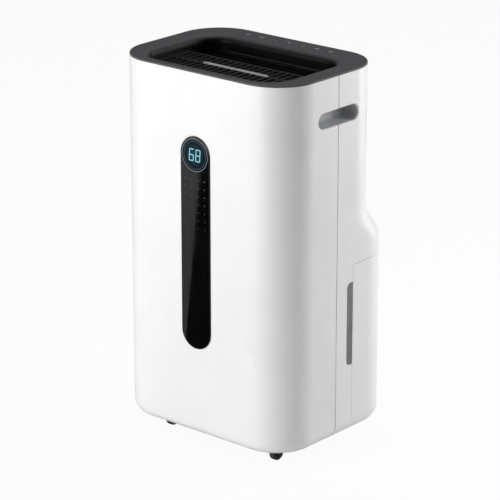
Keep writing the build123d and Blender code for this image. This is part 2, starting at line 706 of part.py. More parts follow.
for spot, name in zip(KEY_SPOTS, KEY_NAMES):
    with BuildPart() as key:
        with BuildSketch(level(FLANGE_TOP)):
            with Locations(spot):
                SlotOverall(KEY_W, KEY_L)
        extrude(amount=TOP_Z + KEY_PROUD - FLANGE_TOP)
        fillet(key.edges().group_by(Axis.Z)[-1], 0.6)
        with BuildSketch(level(TOP_Z + KEY_PROUD)):
            with Locations(spot):
                SlotOverall(KEY_W - 2 * KEY_LAND, KEY_L - 2 * KEY_LAND)
        extrude(amount=-KEY_DISH, mode=Mode.SUBTRACT)
        with BuildSketch(level(FLANGE_TOP)):
            with Locations(spot):
                SlotOverall(KEY_W + 2 * KEY_FLANGE, KEY_L + 2 * KEY_FLANGE)
        extrude(amount=-KEY_FLANGE_T)
        with BuildSketch(level(STEM_Z)):
            with Locations(spot):
                Circle(POST_R - 0.5)
        extrude(amount=KEY_STEM)
    save(key, "key_" + name)

with BuildPart() as key_board:
    with BuildSketch(level(BOARD_Z)):
        with Locations((0, KEY_Y + 3.5)):
            Rectangle(2 * POST_X + 2 * POST_R + 2, KEY_BOARD_L)
    extrude(amount=BOARD_T)
    with BuildSketch(level(BOARD_Z + BOARD_T)):
        with Locations(*KEY_SPOTS):
            Rectangle(6, 6)
    extrude(amount=SWITCH_H)
save(key_board, "key_board")

# ---------------------------------------------------------------- louver
# Each blade hangs upright at rest. Its crank pin drives it through a link that stays level.
BLADE_Z = PIVOT_Z + BLADE_ABOVE - BLADE_CHORD / 2
LINK_X = BLADE_END + FIT
for i, (y, z) in enumerate(PIVOT_SPOTS):
    driven = i == BLADES // 2
    with BuildPart() as louver_blade:
        with BuildSketch(facing_right(0)):
            with Locations((y, BLADE_Z)):
                SlotOverall(BLADE_CHORD, BLADE_T, rotation=90)
        extrude(amount=BLADE_END, both=True)
        with BuildSketch(facing_right(-RECESS_W / 2 + FIT)):
            with Locations((y, z)):
                Circle(PIVOT_R)
        extrude(amount=RECESS_W - 2 * FIT + (5 if driven else 0))
        with BuildSketch(facing_right(-BLADE_END)):
            with Locations((y, z - CRANK)):
                Circle(CRANK_R)
        extrude(amount=-LINK_T - 2 * FIT)
    save(louver_blade, "louver_blade_" + str(i + 1))

with BuildPart() as louver_link:
    with BuildSketch(facing_right(-LINK_X)):
        with Locations((SLOT_Y, PIVOT_Z - CRANK)):
            SlotOverall((BLADES - 1) * BLADE_PITCH + LINK_H + 2, LINK_H)
    extrude(amount=-LINK_T)
    with BuildSketch(facing_right(-LINK_X)):
        with Locations(*[(y, z - CRANK) for y, z in PIVOT_SPOTS]):
            Circle(CRANK_R + FIT)
    extrude(amount=-LINK_T, mode=Mode.SUBTRACT)
save(louver_link, "louver_link")

with BuildPart() as louver_motor:
    with BuildSketch(facing_right(RECESS_W / 2)):
        with Locations((SLOT_Y, PIVOT_Z - STEPPER_OFFSET)):
            Circle(STEPPER_R)
            SlotOverall(2 * STEPPER_R + STEPPER_EARS, STEPPER_EAR_H)
    extrude(amount=2)
    with BuildSketch(facing_right(RECESS_W / 2)):
        with Locations((SLOT_Y, PIVOT_Z - STEPPER_OFFSET)):
            Circle(STEPPER_R)
    extrude(amount=STEPPER_L)
    with BuildSketch(facing_right(RECESS_W / 2)):
        with Locations((SLOT_Y, PIVOT_Z)):
            Circle(PIVOT_R + RUN)
    extrude(amount=8, mode=Mode.SUBTRACT)
save(louver_motor, "louver_motor")

# ---------------------------------------------------------------- display
with BuildPart() as display_lens:
    with BuildSketch(facing_front(BED_Y)):
        with Locations((0, LENS_Z)):
            SlotOverall(LENS_H, LENS_W, rotation=90)
    extrude(amount=LENS_T)
    fillet(display_lens.edges().group_by(Axis.Y)[0], LENS_EDGE_R)
save(display_lens, "display_lens")

BOARD_H = RING_R + DOTS_H + RING_R / 2 + 16
with BuildPart() as display_board:
    with BuildSketch(facing_front(BED_BACK + BOARD_T)):
        with Locations((0, RING_Z + RING_R + 4 - BOARD_H / 2)):
            RectangleRounded(LENS_W + 2, BOARD_H, 3)
    extrude(amount=BOARD_T)
save(display_board, "display_board")

with BuildPart() as display_ring:
    with BuildSketch(facing_front(BED_BACK)):
        with Locations((0, RING_Z)):
            Circle(RING_R)
            Circle(RING_R - RING_W, mode=Mode.SUBTRACT)
    extrude(amount=LENS_BED - SLIDE)
save(display_ring, "display_ring")

# ---------------------------------------------------------------- intake
with BuildPart() as intake_frame:
    with BuildSketch(facing_front(REAR_Y)):
        with Locations((0, INTAKE_Z)):
            RectangleRounded(INTAKE_W, INTAKE_H, INTAKE_R)
    extrude(amount=INTAKE_DEPTH)
    with BuildSketch(facing_front(REAR_Y)):
        with Locations((0, INTAKE_Z)):
            Rectangle(INTAKE_W - 2 * INTAKE_RIM, INTAKE_H - 2 * INTAKE_RIM)
    extrude(amount=INTAKE_DEPTH, mode=Mode.SUBTRACT)
    slats = int((INTAKE_H - 2 * INTAKE_RIM) / SLAT_PITCH)
    with BuildSketch(facing_front(REAR_Y - 1)):
        with Locations((0, INTAKE_Z)):
            with GridLocations(1, SLAT_PITCH, 1, slats):
                Rectangle(INTAKE_W - 2 * INTAKE_RIM, SLAT_T)
            with GridLocations((INTAKE_W - 2 * INTAKE_RIM) / 3, 1, 2, 1):
                Rectangle(SLAT_T, INTAKE_H - 2 * INTAKE_RIM)
    extrude(amount=INTAKE_DEPTH / 2)
save(intake_frame, "intake_frame")

with BuildPart() as filter_mesh:
    with BuildSketch(facing_front(STOP_Y + 2 * MESH_T)):
        with Locations((0, INTAKE_Z)):
            Rectangle(INTAKE_W - 2 * INTAKE_RIM, INTAKE_H - 2 * INTAKE_RIM)
    extrude(amount=MESH_T)
save(filter_mesh, "filter_mesh")

# ---------------------------------------------------------------- coils and drip tray
ROW_PITCH = COIL_H / TUBE_ROWS
ROW_Z = [COIL_Z + (i + 0.5) * ROW_PITCH for i in range(TUBE_ROWS)]
COIL_END = COIL_W / 2 + COIL_PLATE


# A fin block with slots between its fins on one face, end plates and return bends. The first
# and the last row stay open on the right, where the pipes join.
def coil(y, slotted):
    with BuildPart() as body:
        block(-COIL_W / 2, COIL_W / 2, y - COIL_T / 2, y + COIL_T / 2, COIL_Z, COIL_Z + COIL_H)
        with BuildSketch(level(COIL_Z)):
            with Locations((0, y + slotted * (COIL_T - FIN_DEPTH) / 2)):
                with GridLocations(FIN_PITCH, 1, int(COIL_W / FIN_PITCH) - 1, 1):
                    Rectangle(FIN_SLOT, FIN_DEPTH)
        extrude(amount=COIL_H, mode=Mode.SUBTRACT)
        for side in (-1, 1):
            x = side * COIL_W / 2
            outer = side * COIL_END
            block(min(x, outer), max(x, outer), y - COIL_T / 2, y + COIL_T / 2, COIL_Z, COIL_Z + COIL_H)
            first = 0 if side < 0 else 1
            for row in range(first, TUBE_ROWS - 1, 2):
                with BuildSketch(facing_right(outer)):
                    with Locations((y, ROW_Z[row])):
                        Circle(TUBE_R)
                middle = (outer, y, ROW_Z[row] + ROW_PITCH / 2)
                revolve(axis=Axis(middle, (0, -side, 0)), revolution_arc=180)
    return body


evaporator = coil(EVAPORATOR_Y, 1)
save(evaporator, "evaporator")
condenser = coil(CONDENSER_Y, -1)
save(condenser, "condenser")

TRAY_X = COIL_W / 2 + TRAY_MARGIN
TRAY_Y0 = CONDENSER_Y - COIL_T / 2 - TRAY_MARGIN
TRAY_Y1 = EVAPORATOR_Y + COIL_T / 2 + TRAY_T + FIT
with BuildPart() as drip_tray:
    block(-TRAY_X, TRAY_X, TRAY_Y0, TRAY_Y1, TRAY_Z, TRAY_Z + TRAY_H)
    block(
        -TRAY_X + TRAY_T,
        TRAY_X - TRAY_T,
        TRAY_Y0 + TRAY_T,
        TRAY_Y1 - TRAY_T,
        TRAY_Z + TRAY_T,
        TRAY_Z + TRAY_H,
        mode=Mode.SUBTRACT,
    )
    for x in (-COIL_W / 3, 0, COIL_W / 3):
        block(x - 2, x + 2, TRAY_Y0 + TRAY_T + 4, TRAY_Y1 - TRAY_T, TRAY_Z + TRAY_T, COIL_Z)
    with BuildSketch(level(DECK_Z - SPIGOT_L)):
        with Locations((DRIP_X, DRIP_Y)):
            Circle(HOSE_R)
    extrude(amount=TRAY_Z + TRAY_T - DECK_Z + SPIGOT_L)
    with BuildSketch(level(DECK_Z - SPIGOT_L)):
        with Locations((DRIP_X, DRIP_Y)):
            Circle(HOSE_R - 1.5)
    extrude(amount=TRAY_Z + TRAY_T - DECK_Z + SPIGOT_L, mode=Mode.SUBTRACT)
save(drip_tray, "drip_tray")

# ---------------------------------------------------------------- drain, gland and electrics
CUP_BACK_X = -SIDE_X + SPOUT_DEPTH
HOSE_Z = DECK_TOP + HOSE_R + FIT
with BuildPart() as drain_spout:
    for radius, start, length in (
        (SPOUT_CUP_R + CUP_FLANGE, WALL, CUP_T),
        (SPOUT_CUP_R + CUP_T, WALL, SPOUT_DEPTH - WALL + CUP_T),
    ):
        with BuildSketch(facing_right(-SIDE_X + start)):
            with Locations((SPOUT_Y, SPOUT_Z)):
                Circle(radius)
        extrude(amount=length)
    with BuildSketch(facing_right(CUP_BACK_X)):
        with Locations((SPOUT_Y, SPOUT_Z)):
            Circle(SPOUT_CUP_R)
    extrude(amount=-SPOUT_DEPTH, mode=Mode.SUBTRACT)
    with BuildSketch(facing_right(CUP_BACK_X)):
        with Locations((SPOUT_Y, SPOUT_Z)):
            Circle(SPOUT_R)
    extrude(amount=-SPOUT_DEPTH + WALL)
    with BuildSketch(facing_right(-SIDE_X)):
        with Locations((SPOUT_Y, SPOUT_Z)):
            Circle(SPOUT_R - 2.5)
    extrude(amount=SPOUT_DEPTH + CUP_T, mode=Mode.SUBTRACT)
    add(inner_form, mode=Mode.INTERSECT)
save(drain_spout, "drain_spout")

with BuildPart() as drain_hose:
    with BuildLine():
        FilletPolyline(
            (-TRAY_X + HOSE_R + 3, TRAY_Y0, HOSE_Z),
            (-TRAY_X + HOSE_R + 3, SPOUT_Y, HOSE_Z),
            (-HOSE_X, SPOUT_Y, HOSE_Z),
            (-HOSE_X, SPOUT_Y, SPOUT_Z),
            (CUP_BACK_X + CUP_T, SPOUT_Y, SPOUT_Z),
            radius=[HOSE_BEND, HOSE_BEND, HOSE_BEND],
        )
    with BuildSketch(facing_front(TRAY_Y0)):
        with Locations((-TRAY_X + HOSE_R + 3, HOSE_Z)):
            Circle(HOSE_R)
    sweep()
save(drain_hose, "drain_hose")

with BuildPart() as cord_gland:
    with BuildSketch(facing_right(-SIDE_X)):
        with Locations((GLAND_Y, GLAND_Z)):
            Circle(GLAND_R)
    extrude(amount=WALL)
    with BuildSketch(facing_right(-SIDE_X + WALL)):
        with Locations((GLAND_Y, GLAND_Z)):
            Circle(GLAND_R + GLAND_FLANGE)
    extrude(amount=GLAND_FLANGE)
    with BuildSketch(facing_right(-SIDE_X)):
        with Locations((GLAND_Y, GLAND_Z)):
            Circle(GLAND_BORE)
    extrude(amount=WALL + GLAND_FLANGE, mode=Mode.SUBTRACT)
save(cord_gland, "cord_gland")

with BuildPart() as main_board_box:
    block(
        -BOX_X - BOX_W / 2,
        -BOX_X + BOX_W / 2,
        FRONT_Y + BOX_FRONT,
        FRONT_Y + BOX_FRONT + BOX_D,
        DECK_TOP,
        DECK_TOP + BOX_H,
    )
    fillet(main_board_box.edges().filter_by(Axis.Z), 3)
save(main_board_box, "main_board_box")

with BuildPart() as run_capacitor:
    with BuildSketch(level(DECK_TOP)):
        with Locations((CAPACITOR_X, FRONT_Y + CAPACITOR_FRONT)):
            Circle(CAPACITOR_R)
    extrude(amount=CAPACITOR_H)
    fillet(run_capacitor.edges().group_by(Axis.Z)[-1], 2)
save(run_capacitor, "run_capacitor")

with BuildPart() as full_bucket_switch:
    block(
        FLOAT_X - 12,
        FLOAT_X + 12,
        BAY_Y,
        BAY_Y + TUB_FRONT_GAP - 1,
        RIM_Z - FLOAT_DROP - 7,
        RIM_Z - FLOAT_DROP + 7,
    )
save(full_bucket_switch, "full_bucket_switch")

# ---------------------------------------------------------------- fan
# The scroll widens by one step in each quarter turn, from the tongue round to the outlet,
# which opens out to the whole width of the recess above it.
def scroll_outline(margin):
    half = SCROLL_STEP / 2
    reach = FAN_R + SCROLL_GAP + half + margin
    wide = RECESS_W / 2 - CHEEK_T - 8 + margin
    with BuildSketch() as outline:
        with BuildLine():
            CenterArc((-half, FAN_Z - half), reach, 90, 90)
            CenterArc((half, FAN_Z - half), reach + SCROLL_STEP, 180, 90)
            last = CenterArc((half, FAN_Z + half), reach + 2 * SCROLL_STEP, 270, 90)
            Polyline(
                last @ 1,
                ((last @ 1).X, SCROLL_TOP),
                (-wide, SCROLL_TOP),
                (-wide, SCROLL_TOP - 8),
                (-half, FAN_Z - half + reach),
            )
        make_face()
    return outline.sketch


with BuildPart() as fan_scroll:
    with BuildSketch(facing_front(SCROLL_Y1)):
        add(scroll_outline(SCROLL_T))
    extrude(amount=SCROLL_D)
    with BuildSketch(facing_front(SCROLL_Y1 - SCROLL_T)):
        add(scroll_outline(0))
    extrude(amount=SCROLL_D - 2 * SCROLL_T, mode=Mode.SUBTRACT)
    with BuildSketch(facing_front(SCROLL_Y1)):
        with Locations((0, FAN_Z)):
            Circle(INLET_R)
    extrude(amount=SCROLL_T, mode=Mode.SUBTRACT)
    with BuildSketch(facing_front(SCROLL_Y0 + SCROLL_T)):
        with Locations((0, FAN_Z)):
            Circle(HUB_R + 3)
    extrude(amount=SCROLL_T, mode=Mode.SUBTRACT)
    for x in (-SCROLL_FOOT_X, SCROLL_FOOT_X):
        block(
            x - SCROLL_FOOT_W / 2, x + SCROLL_FOOT_W / 2,
            SCROLL_Y0, SCROLL_Y1,
            DECK_TOP, DECK_TOP + SCROLL_FOOT_H,
        )
    # a tray under the louver and the grille, open where the scroll blows through it, and a
    # wall behind the louver that reaches up to the dish
    with BuildSketch(level(SCROLL_TOP - SCROLL_T)):
        recess_plan(0)
        with Locations((0, SLOT_Y + DUCT_LAP / 2)):
            Rectangle(RECESS_W - 2 * FIT, RECESS_Y1 - GRILLE_Y1 + DUCT_LAP)
    extrude(amount=SCROLL_T)
    duct_x = CHEEK_X - FIT
    duct_y = RECESS_Y1 + DUCT_LAP
    block(-duct_x, duct_x, duct_y - SCROLL_T, duct_y, SCROLL_TOP, DISH_Z - FIT)
    with BuildSketch(facing_front(SCROLL_Y1 - SCROLL_T)):
        add(scroll_outline(0))
    extrude(amount=SCROLL_D - 2 * SCROLL_T, mode=Mode.SUBTRACT)
    # the louver's motor keeps its room beside the recess, also where the body is narrow
    with BuildSketch(facing_right(RECESS_W / 2)):
        with Locations((SLOT_Y, PIVOT_Z - STEPPER_OFFSET)):
            Circle(STEPPER_R + RUN)
            SlotOverall(2 * STEPPER_R + STEPPER_EARS + 2 * FIT, STEPPER_EAR_H + 2 * FIT)
    extrude(amount=STEPPER_L + FIT, mode=Mode.SUBTRACT)
save(fan_scroll, "fan_scroll")

FAN_Y0 = SCROLL_Y0 + SCROLL_T + 5
with BuildPart() as blower_wheel:
    with BuildSketch(facing_front(FAN_Y0 + FAN_PLATE_T)):
        with Locations((0, FAN_Z)):
            Circle(FAN_R)
    extrude(amount=FAN_PLATE_T)
    with BuildSketch(facing_front(FAN_Y0 + FAN_W)):
        with Locations((0, FAN_Z)):
            Circle(FAN_R)
            Circle(FAN_R - FAN_BLADE_L, mode=Mode.SUBTRACT)
    extrude(amount=FAN_PLATE_T)
    with BuildSketch(facing_front(FAN_Y0 + FAN_W - FAN_PLATE_T)):
        with Locations((0, FAN_Z)):
            with PolarLocations(FAN_R - FAN_BLADE_L / 2 - 0.5, FAN_BLADES):
                Rectangle(FAN_BLADE_L - 1, FAN_BLADE_T, rotation=35)
    extrude(amount=FAN_W - 2 * FAN_PLATE_T)
    with BuildSketch(facing_front(FAN_Y0 + HUB_L)):
        with Locations((0, FAN_Z)):
            Circle(HUB_R)
    extrude(amount=HUB_L)
    with BuildSketch(facing_front(FAN_Y0 + HUB_L)):
        with Locations((0, FAN_Z)):
            Circle(SHAFT_R)
    extrude(amount=HUB_L, mode=Mode.SUBTRACT)
save(blower_wheel, "blower_wheel")

with BuildPart() as fan_shaft:
    with BuildSketch(facing_front(FAN_Y0 + HUB_L)):
        with Locations((0, FAN_Z)):
            Circle(SHAFT_R)
    extrude(amount=FAN_Y0 + HUB_L - SCROLL_Y0 + MOTOR_L - 5)
save(fan_shaft, "fan_shaft")

with BuildPart() as fan_motor:
    with BuildSketch(facing_front(MOTOR_Y1)):
        with Locations((0, FAN_Z)):
            Circle(MOTOR_R + 8)
    extrude(amount=MOTOR_FLANGE_T)
    with BuildSketch(facing_front(MOTOR_Y1)):
        with Locations((0, FAN_Z)):
            Circle(MOTOR_R)
    extrude(amount=MOTOR_L)
    fillet(fan_motor.edges().group_by(Axis.Y)[0], 5)
    with BuildSketch(facing_front(MOTOR_Y1)):
        with Locations((0, FAN_Z)):
            Circle(SHAFT_R + RUN)
    extrude(amount=MOTOR_L - 4, mode=Mode.SUBTRACT)
save(fan_motor, "fan_motor")

# ---------------------------------------------------------------- compressor and pipes
COMPRESSOR_TOP = COMPRESSOR_Z + PLATE_T + COMPRESSOR_H
ACCUMULATOR_X = COMPRESSOR_R + ACCUMULATOR_GAP + ACCUMULATOR_R
ACCUMULATOR_Z = COMPRESSOR_Z + PLATE_T + ACCUMULATOR_UP
with BuildPart() as compressor:
    with BuildSketch(level(COMPRESSOR_Z)):
        with Locations(*FOOT_SPOTS):
            Circle(FOOT_R)
        make_hull()
    extrude(amount=PLATE_T)
    with BuildSketch(level(COMPRESSOR_Z + PLATE_T)):
        with Locations((0, COMPRESSOR_Y)):
            Circle(COMPRESSOR_R)
    extrude(amount=COMPRESSOR_H)
    fillet(compressor.edges().group_by(Axis.Z)[-1], 20)
save(compressor, "compressor")

with BuildPart() as compressor_feet:
    with BuildSketch(level(PAN_TOP)):
        with Locations(*FOOT_SPOTS):
            Circle(FOOT_R)
    extrude(amount=FOOT_H)
save(compressor_feet, "compressor_feet")

with BuildPart() as accumulator:
    with BuildSketch(level(ACCUMULATOR_Z)):
        with Locations((ACCUMULATOR_X, COMPRESSOR_Y)):
            Circle(ACCUMULATOR_R)
    extrude(amount=ACCUMULATOR_H)
    fillet(accumulator.edges().group_by(Axis.Z)[-1], 8)
    # the strap that holds it to the compressor
    block(
        COMPRESSOR_R,
        ACCUMULATOR_X,
        COMPRESSOR_Y - 8,
        COMPRESSOR_Y + 8,
        ACCUMULATOR_Z + ACCUMULATOR_H / 2 - 6,
        ACCUMULATOR_Z + ACCUMULATOR_H / 2 + 6,
    )
save(accumulator, "accumulator")

# Discharge to the condenser's first row, suction from the evaporator's, and the liquid line
# between their last rows, which drops through the drier.
HIGH_RUN = DECK_Z - RUN_DROP
DRIER_X = SUCTION_X - 4
DRIER_Z = ROW_Z[-1] - DRIER_DROP - DRIER_L
PIPE_ROUTES = [
    [
        (0, COMPRESSOR_Y, COMPRESSOR_TOP),
        (0, COMPRESSOR_Y, HIGH_RUN),
        (DISCHARGE_X, COMPRESSOR_Y, HIGH_RUN),
        (DISCHARGE_X, COMPRESSOR_Y, ROW_Z[0]),
        (DISCHARGE_X, CONDENSER_Y, ROW_Z[0]),
        (COIL_END, CONDENSER_Y, ROW_Z[0]),
    ],
    [
        (ACCUMULATOR_X, COMPRESSOR_Y, ACCUMULATOR_Z + ACCUMULATOR_H),
        (ACCUMULATOR_X, COMPRESSOR_Y, HIGH_RUN - RUN_GAP),
        (SUCTION_X, SUCTION_Y, HIGH_RUN - RUN_GAP),
        (SUCTION_X, SUCTION_Y, ROW_Z[0]),
        (SUCTION_X, EVAPORATOR_Y, ROW_Z[0]),
        (COIL_END, EVAPORATOR_Y, ROW_Z[0]),
    ],
    [
        (COIL_END, CONDENSER_Y, ROW_Z[-1]),
        (DRIER_X, CONDENSER_Y, ROW_Z[-1]),
        (DRIER_X, CONDENSER_Y, DRIER_Z - RUN_GAP),
        (DRIER_X, EVAPORATOR_Y, DRIER_Z - RUN_GAP),
        (DRIER_X, EVAPORATOR_Y, ROW_Z[-1]),
        (COIL_END, EVAPORATOR_Y, ROW_Z[-1]),
    ],
]
pipes = []
for route in PIPE_ROUTES:
    with BuildPart() as pipe:
        with BuildLine() as run:
            FilletPolyline(*route, radius=[PIPE_BEND] * (len(route) - 2))
        with BuildSketch(Plane(run.line @ 0, z_dir=run.line % 0)):
            Circle(PIPE_R)
        sweep()
    pipes.append(pipe.part)
with BuildPart() as refrigerant_pipes:
    for pipe_solid in pipes:
        add(pipe_solid)
save(refrigerant_pipes, "refrigerant_pipes")

with BuildPart() as filter_drier:
    with BuildSketch(level(DRIER_Z)):
        with Locations((DRIER_X, CONDENSER_Y)):
            Circle(DRIER_R)
    extrude(amount=DRIER_L)
    fillet(filter_drier.edges(), 3)
    with BuildSketch(level(DRIER_Z)):
        with Locations((DRIER_X, CONDENSER_Y)):
            Circle(PIPE_R)
    extrude(amount=DRIER_L, mode=Mode.SUBTRACT)
save(filter_drier, "filter_drier")

with BuildPart() as housing_screws:
    with BuildSketch(level(BASE_Z)):
        with Locations(*SCREW_SPOTS):
            Circle(SCREW_HEAD_R)
    extrude(amount=-2)
    with BuildSketch(level(BASE_Z)):
        with Locations(*SCREW_SPOTS):
            Circle(SCREW_R)
    extrude(amount=SCREW_L)
save(housing_screws, "housing_screws")

# ---------------------------------------------------------------- bucket
def tub_plan(inset, mode=Mode.ADD):
    with BuildSketch() as plan:
        body_plan(LOWER_D, TUB_INSET)
        with Locations((0, TUB_Y + LOWER_D / 2)):
            Rectangle(BODY_W, LOWER_D, mode=Mode.INTERSECT)
        fillet(plan.vertices().group_by(Axis.Y)[0], TUB_CORNER)
        if inset > 0:
            offset(amount=-inset, mode=Mode.REPLACE)
    add(plan.sketch, mode=mode)


FLOAT_Y = TUB_Y + TUB_T + 10
FLOAT_Z = RIM_Z - FLOAT_DROP
FLOAT_REACH = (
    FLOAT_Y + FLOAT_ARM * cos(radians(FLOAT_ANGLE)),
    FLOAT_Z - FLOAT_ARM * sin(radians(FLOAT_ANGLE)),
)
LUG_X = FLOAT_L / 2 + 5

with BuildPart() as water_bucket:
    with BuildSketch(level(TUB_Z)):
        tub_plan(0)
    extrude(amount=TUB_H)
    with BuildSketch(level(TUB_Z + TUB_T)):
        tub_plan(TUB_T)
    extrude(amount=TUB_H - TUB_T, mode=Mode.SUBTRACT)
    for side in (-1, 1):
        with BuildSketch(facing_right(FLOAT_X + side * LUG_X - LUG_T / 2)):
            with Locations(((FLOAT_Y + TUB_Y + TUB_T) / 2, FLOAT_Z)):
                Rectangle(FLOAT_Y - TUB_Y - TUB_T, 9)
            with Locations((FLOAT_Y, FLOAT_Z)):
                Circle(4.5)
                Circle(FLOAT_PIN_R + RUN, mode=Mode.SUBTRACT)
        extrude(amount=LUG_T)
save(water_bucket, "water_bucket")

with BuildPart() as bucket_cover:
    add(outer_form)
    add(inner_form, mode=Mode.SUBTRACT)
    cover_z = (BUCKET_Z + COVER_GAP, BUCKET_TOP - COVER_GAP)
    block(-SIDE_X, SIDE_X, BUCKET_Y + COVER_GAP, BULGE_Y + 1, *cover_z, mode=Mode.INTERSECT)
    # bands that bear on the tub
    for z in (TUB_Z + BAND_H, RIM_Z - 2 * BAND_H):
        with BuildSketch(level(z)):
            body_plan(LOWER_D, WALL)
            offset(amount=WALL - TUB_INSET, mode=Mode.SUBTRACT)
            with Locations((0, BUCKET_Y + COVER_GAP - LOWER_D / 2)):
                Rectangle(BODY_W, LOWER_D, mode=Mode.SUBTRACT)
        extrude(amount=BAND_H)
    # the notch to pull the bucket by
    with BuildSketch(facing_front(BULGE_Y)):
        with Locations((0, BUCKET_TOP)):
            RectangleRounded(PULL_W, 2 * PULL_H, 10)
    extrude(amount=3 * WALL, mode=Mode.SUBTRACT)
save(bucket_cover, "bucket_cover")

EAR_X = HANDLE_SPAN / 2 - HANDLE_ARM - FIT
with BuildPart() as bucket_lid:
    with BuildSketch(level(RIM_Z)):
        tub_plan(0)
    extrude(amount=LID_T)
    with BuildSketch(level(RIM_Z)):
        tub_plan(TUB_T + FIT)
        tub_plan(2 * TUB_T + FIT, mode=Mode.SUBTRACT)
    extrude(amount=-LID_SKIRT)
    with BuildSketch(level(RIM_Z)):
        with Locations((DRIP_X, DRIP_Y)):
            Circle(14)
    extrude(amount=LID_T, mode=Mode.SUBTRACT)
    for x in (-EAR_X, EAR_X - EAR_T):
        with BuildSketch(facing_right(x)):
            with Locations((HANDLE_Y, (LID_TOP + HANDLE_Z) / 2)):
                Rectangle(12, HANDLE_LIFT)
            with Locations((HANDLE_Y, HANDLE_Z)):
                Circle(6)
                Circle(HANDLE_PIN_R + RUN, mode=Mode.SUBTRACT)
        extrude(amount=EAR_T)
save(bucket_lid, "bucket_lid")

with BuildPart() as bucket_handle:
    for x in (-HANDLE_SPAN / 2, HANDLE_SPAN / 2 - HANDLE_ARM):
        with BuildSketch(facing_right(x)):
            with Locations((HANDLE_Y - HANDLE_REACH / 2, HANDLE_Z)):
                SlotCenterToCenter(HANDLE_REACH, 2 * HANDLE_R)
        extrude(amount=HANDLE_ARM)
    for side in (-1, 1):
        with BuildSketch(facing_right(side * (HANDLE_SPAN / 2 - HANDLE_ARM))):
            with Locations((HANDLE_Y, HANDLE_Z)):
                Circle(HANDLE_PIN_R)
        extrude(amount=-side * (EAR_T + FIT))
    with BuildSketch(facing_right(0)):
        with Locations((HANDLE_Y - HANDLE_REACH, HANDLE_Z)):
            Circle(HANDLE_R)
    extrude(amount=HANDLE_SPAN / 2, both=True)
    with BuildSketch(facing_right(0)):
        with Locations((HANDLE_Y - HANDLE_REACH, HANDLE_Z)):
            Circle(HANDLE_GRIP_R)
    extrude(amount=HANDLE_GRIP_L / 2, both=True)
save(bucket_handle, "bucket_handle")

with BuildPart() as bucket_float:
    with BuildSketch(facing_right(FLOAT_X)):
        with Locations((FLOAT_Y, FLOAT_Z)):
            Circle(FLOAT_PIN_R)
    extrude(amount=LUG_X + LUG_T / 2, both=True)
    with BuildSketch(facing_right(FLOAT_X)):
        with Locations(((FLOAT_Y + FLOAT_REACH[0]) / 2, (FLOAT_Z + FLOAT_REACH[1]) / 2)):
            SlotCenterToCenter(FLOAT_ARM, 2 * FLOAT_PIN_R + 3, rotation=-FLOAT_ANGLE)
    extrude(amount=6, both=True)
    with BuildSketch(facing_right(FLOAT_X)):
        with Locations(FLOAT_REACH):
            Circle(FLOAT_R)
    extrude(amount=FLOAT_L / 2, both=True)
save(bucket_float, "bucket_float")

# ---------------------------------------------------------------- casters
SOCKET_Z = WELL_ROOF - SWIVEL_H - FIT
DISC_Z = SOCKET_Z - FIT - FORK_T
for name, (x, y) in CASTER_SPOTS.items():
    axle = (y + TRAIL, WHEEL_R)
    inner_x = WHEEL_W / 2 + FORK_GAP
    with BuildPart() as caster_fork:
        with BuildSketch(level(DISC_Z)):
            with Locations((x, y)):
                Circle(SWIVEL_DISC_R)
        extrude(amount=FORK_T)
        with BuildSketch(level(DISC_Z + FORK_T)):
            with Locations((x, y)):
                Circle(SWIVEL_R)
        extrude(amount=WELL_ROOF - FIT - DISC_Z - FORK_T)
        for arm_x in (x - inner_x - FORK_T, x + inner_x):
            with BuildSketch(facing_right(arm_x)):
                with Locations(axle):
                    Circle(AXLE_R + 3)
                with Locations((y + 2, DISC_Z + 0.5)):
                    Rectangle(20, 1)
                make_hull()
            extrude(amount=FORK_T)
        with BuildSketch(facing_right(x)):
            with Locations(axle):
                Circle(AXLE_R)
        extrude(amount=inner_x, both=True)
    save(caster_fork, "caster_fork_" + name)
    with BuildPart() as caster_wheel:
        with BuildSketch(facing_right(x)):
            with Locations(axle):
                Circle(WHEEL_R)
        extrude(amount=WHEEL_W / 2, both=True)
        fillet(caster_wheel.edges(), 2)
        with BuildSketch(facing_right(x)):
            with Locations(axle):
                Circle(AXLE_R + RUN)
        extrude(amount=WHEEL_W / 2, both=True, mode=Mode.SUBTRACT)
    save(caster_wheel, "caster_wheel_" + name)
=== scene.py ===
import json
import math

import bmesh
import bpy
from mathutils import Matrix, Vector


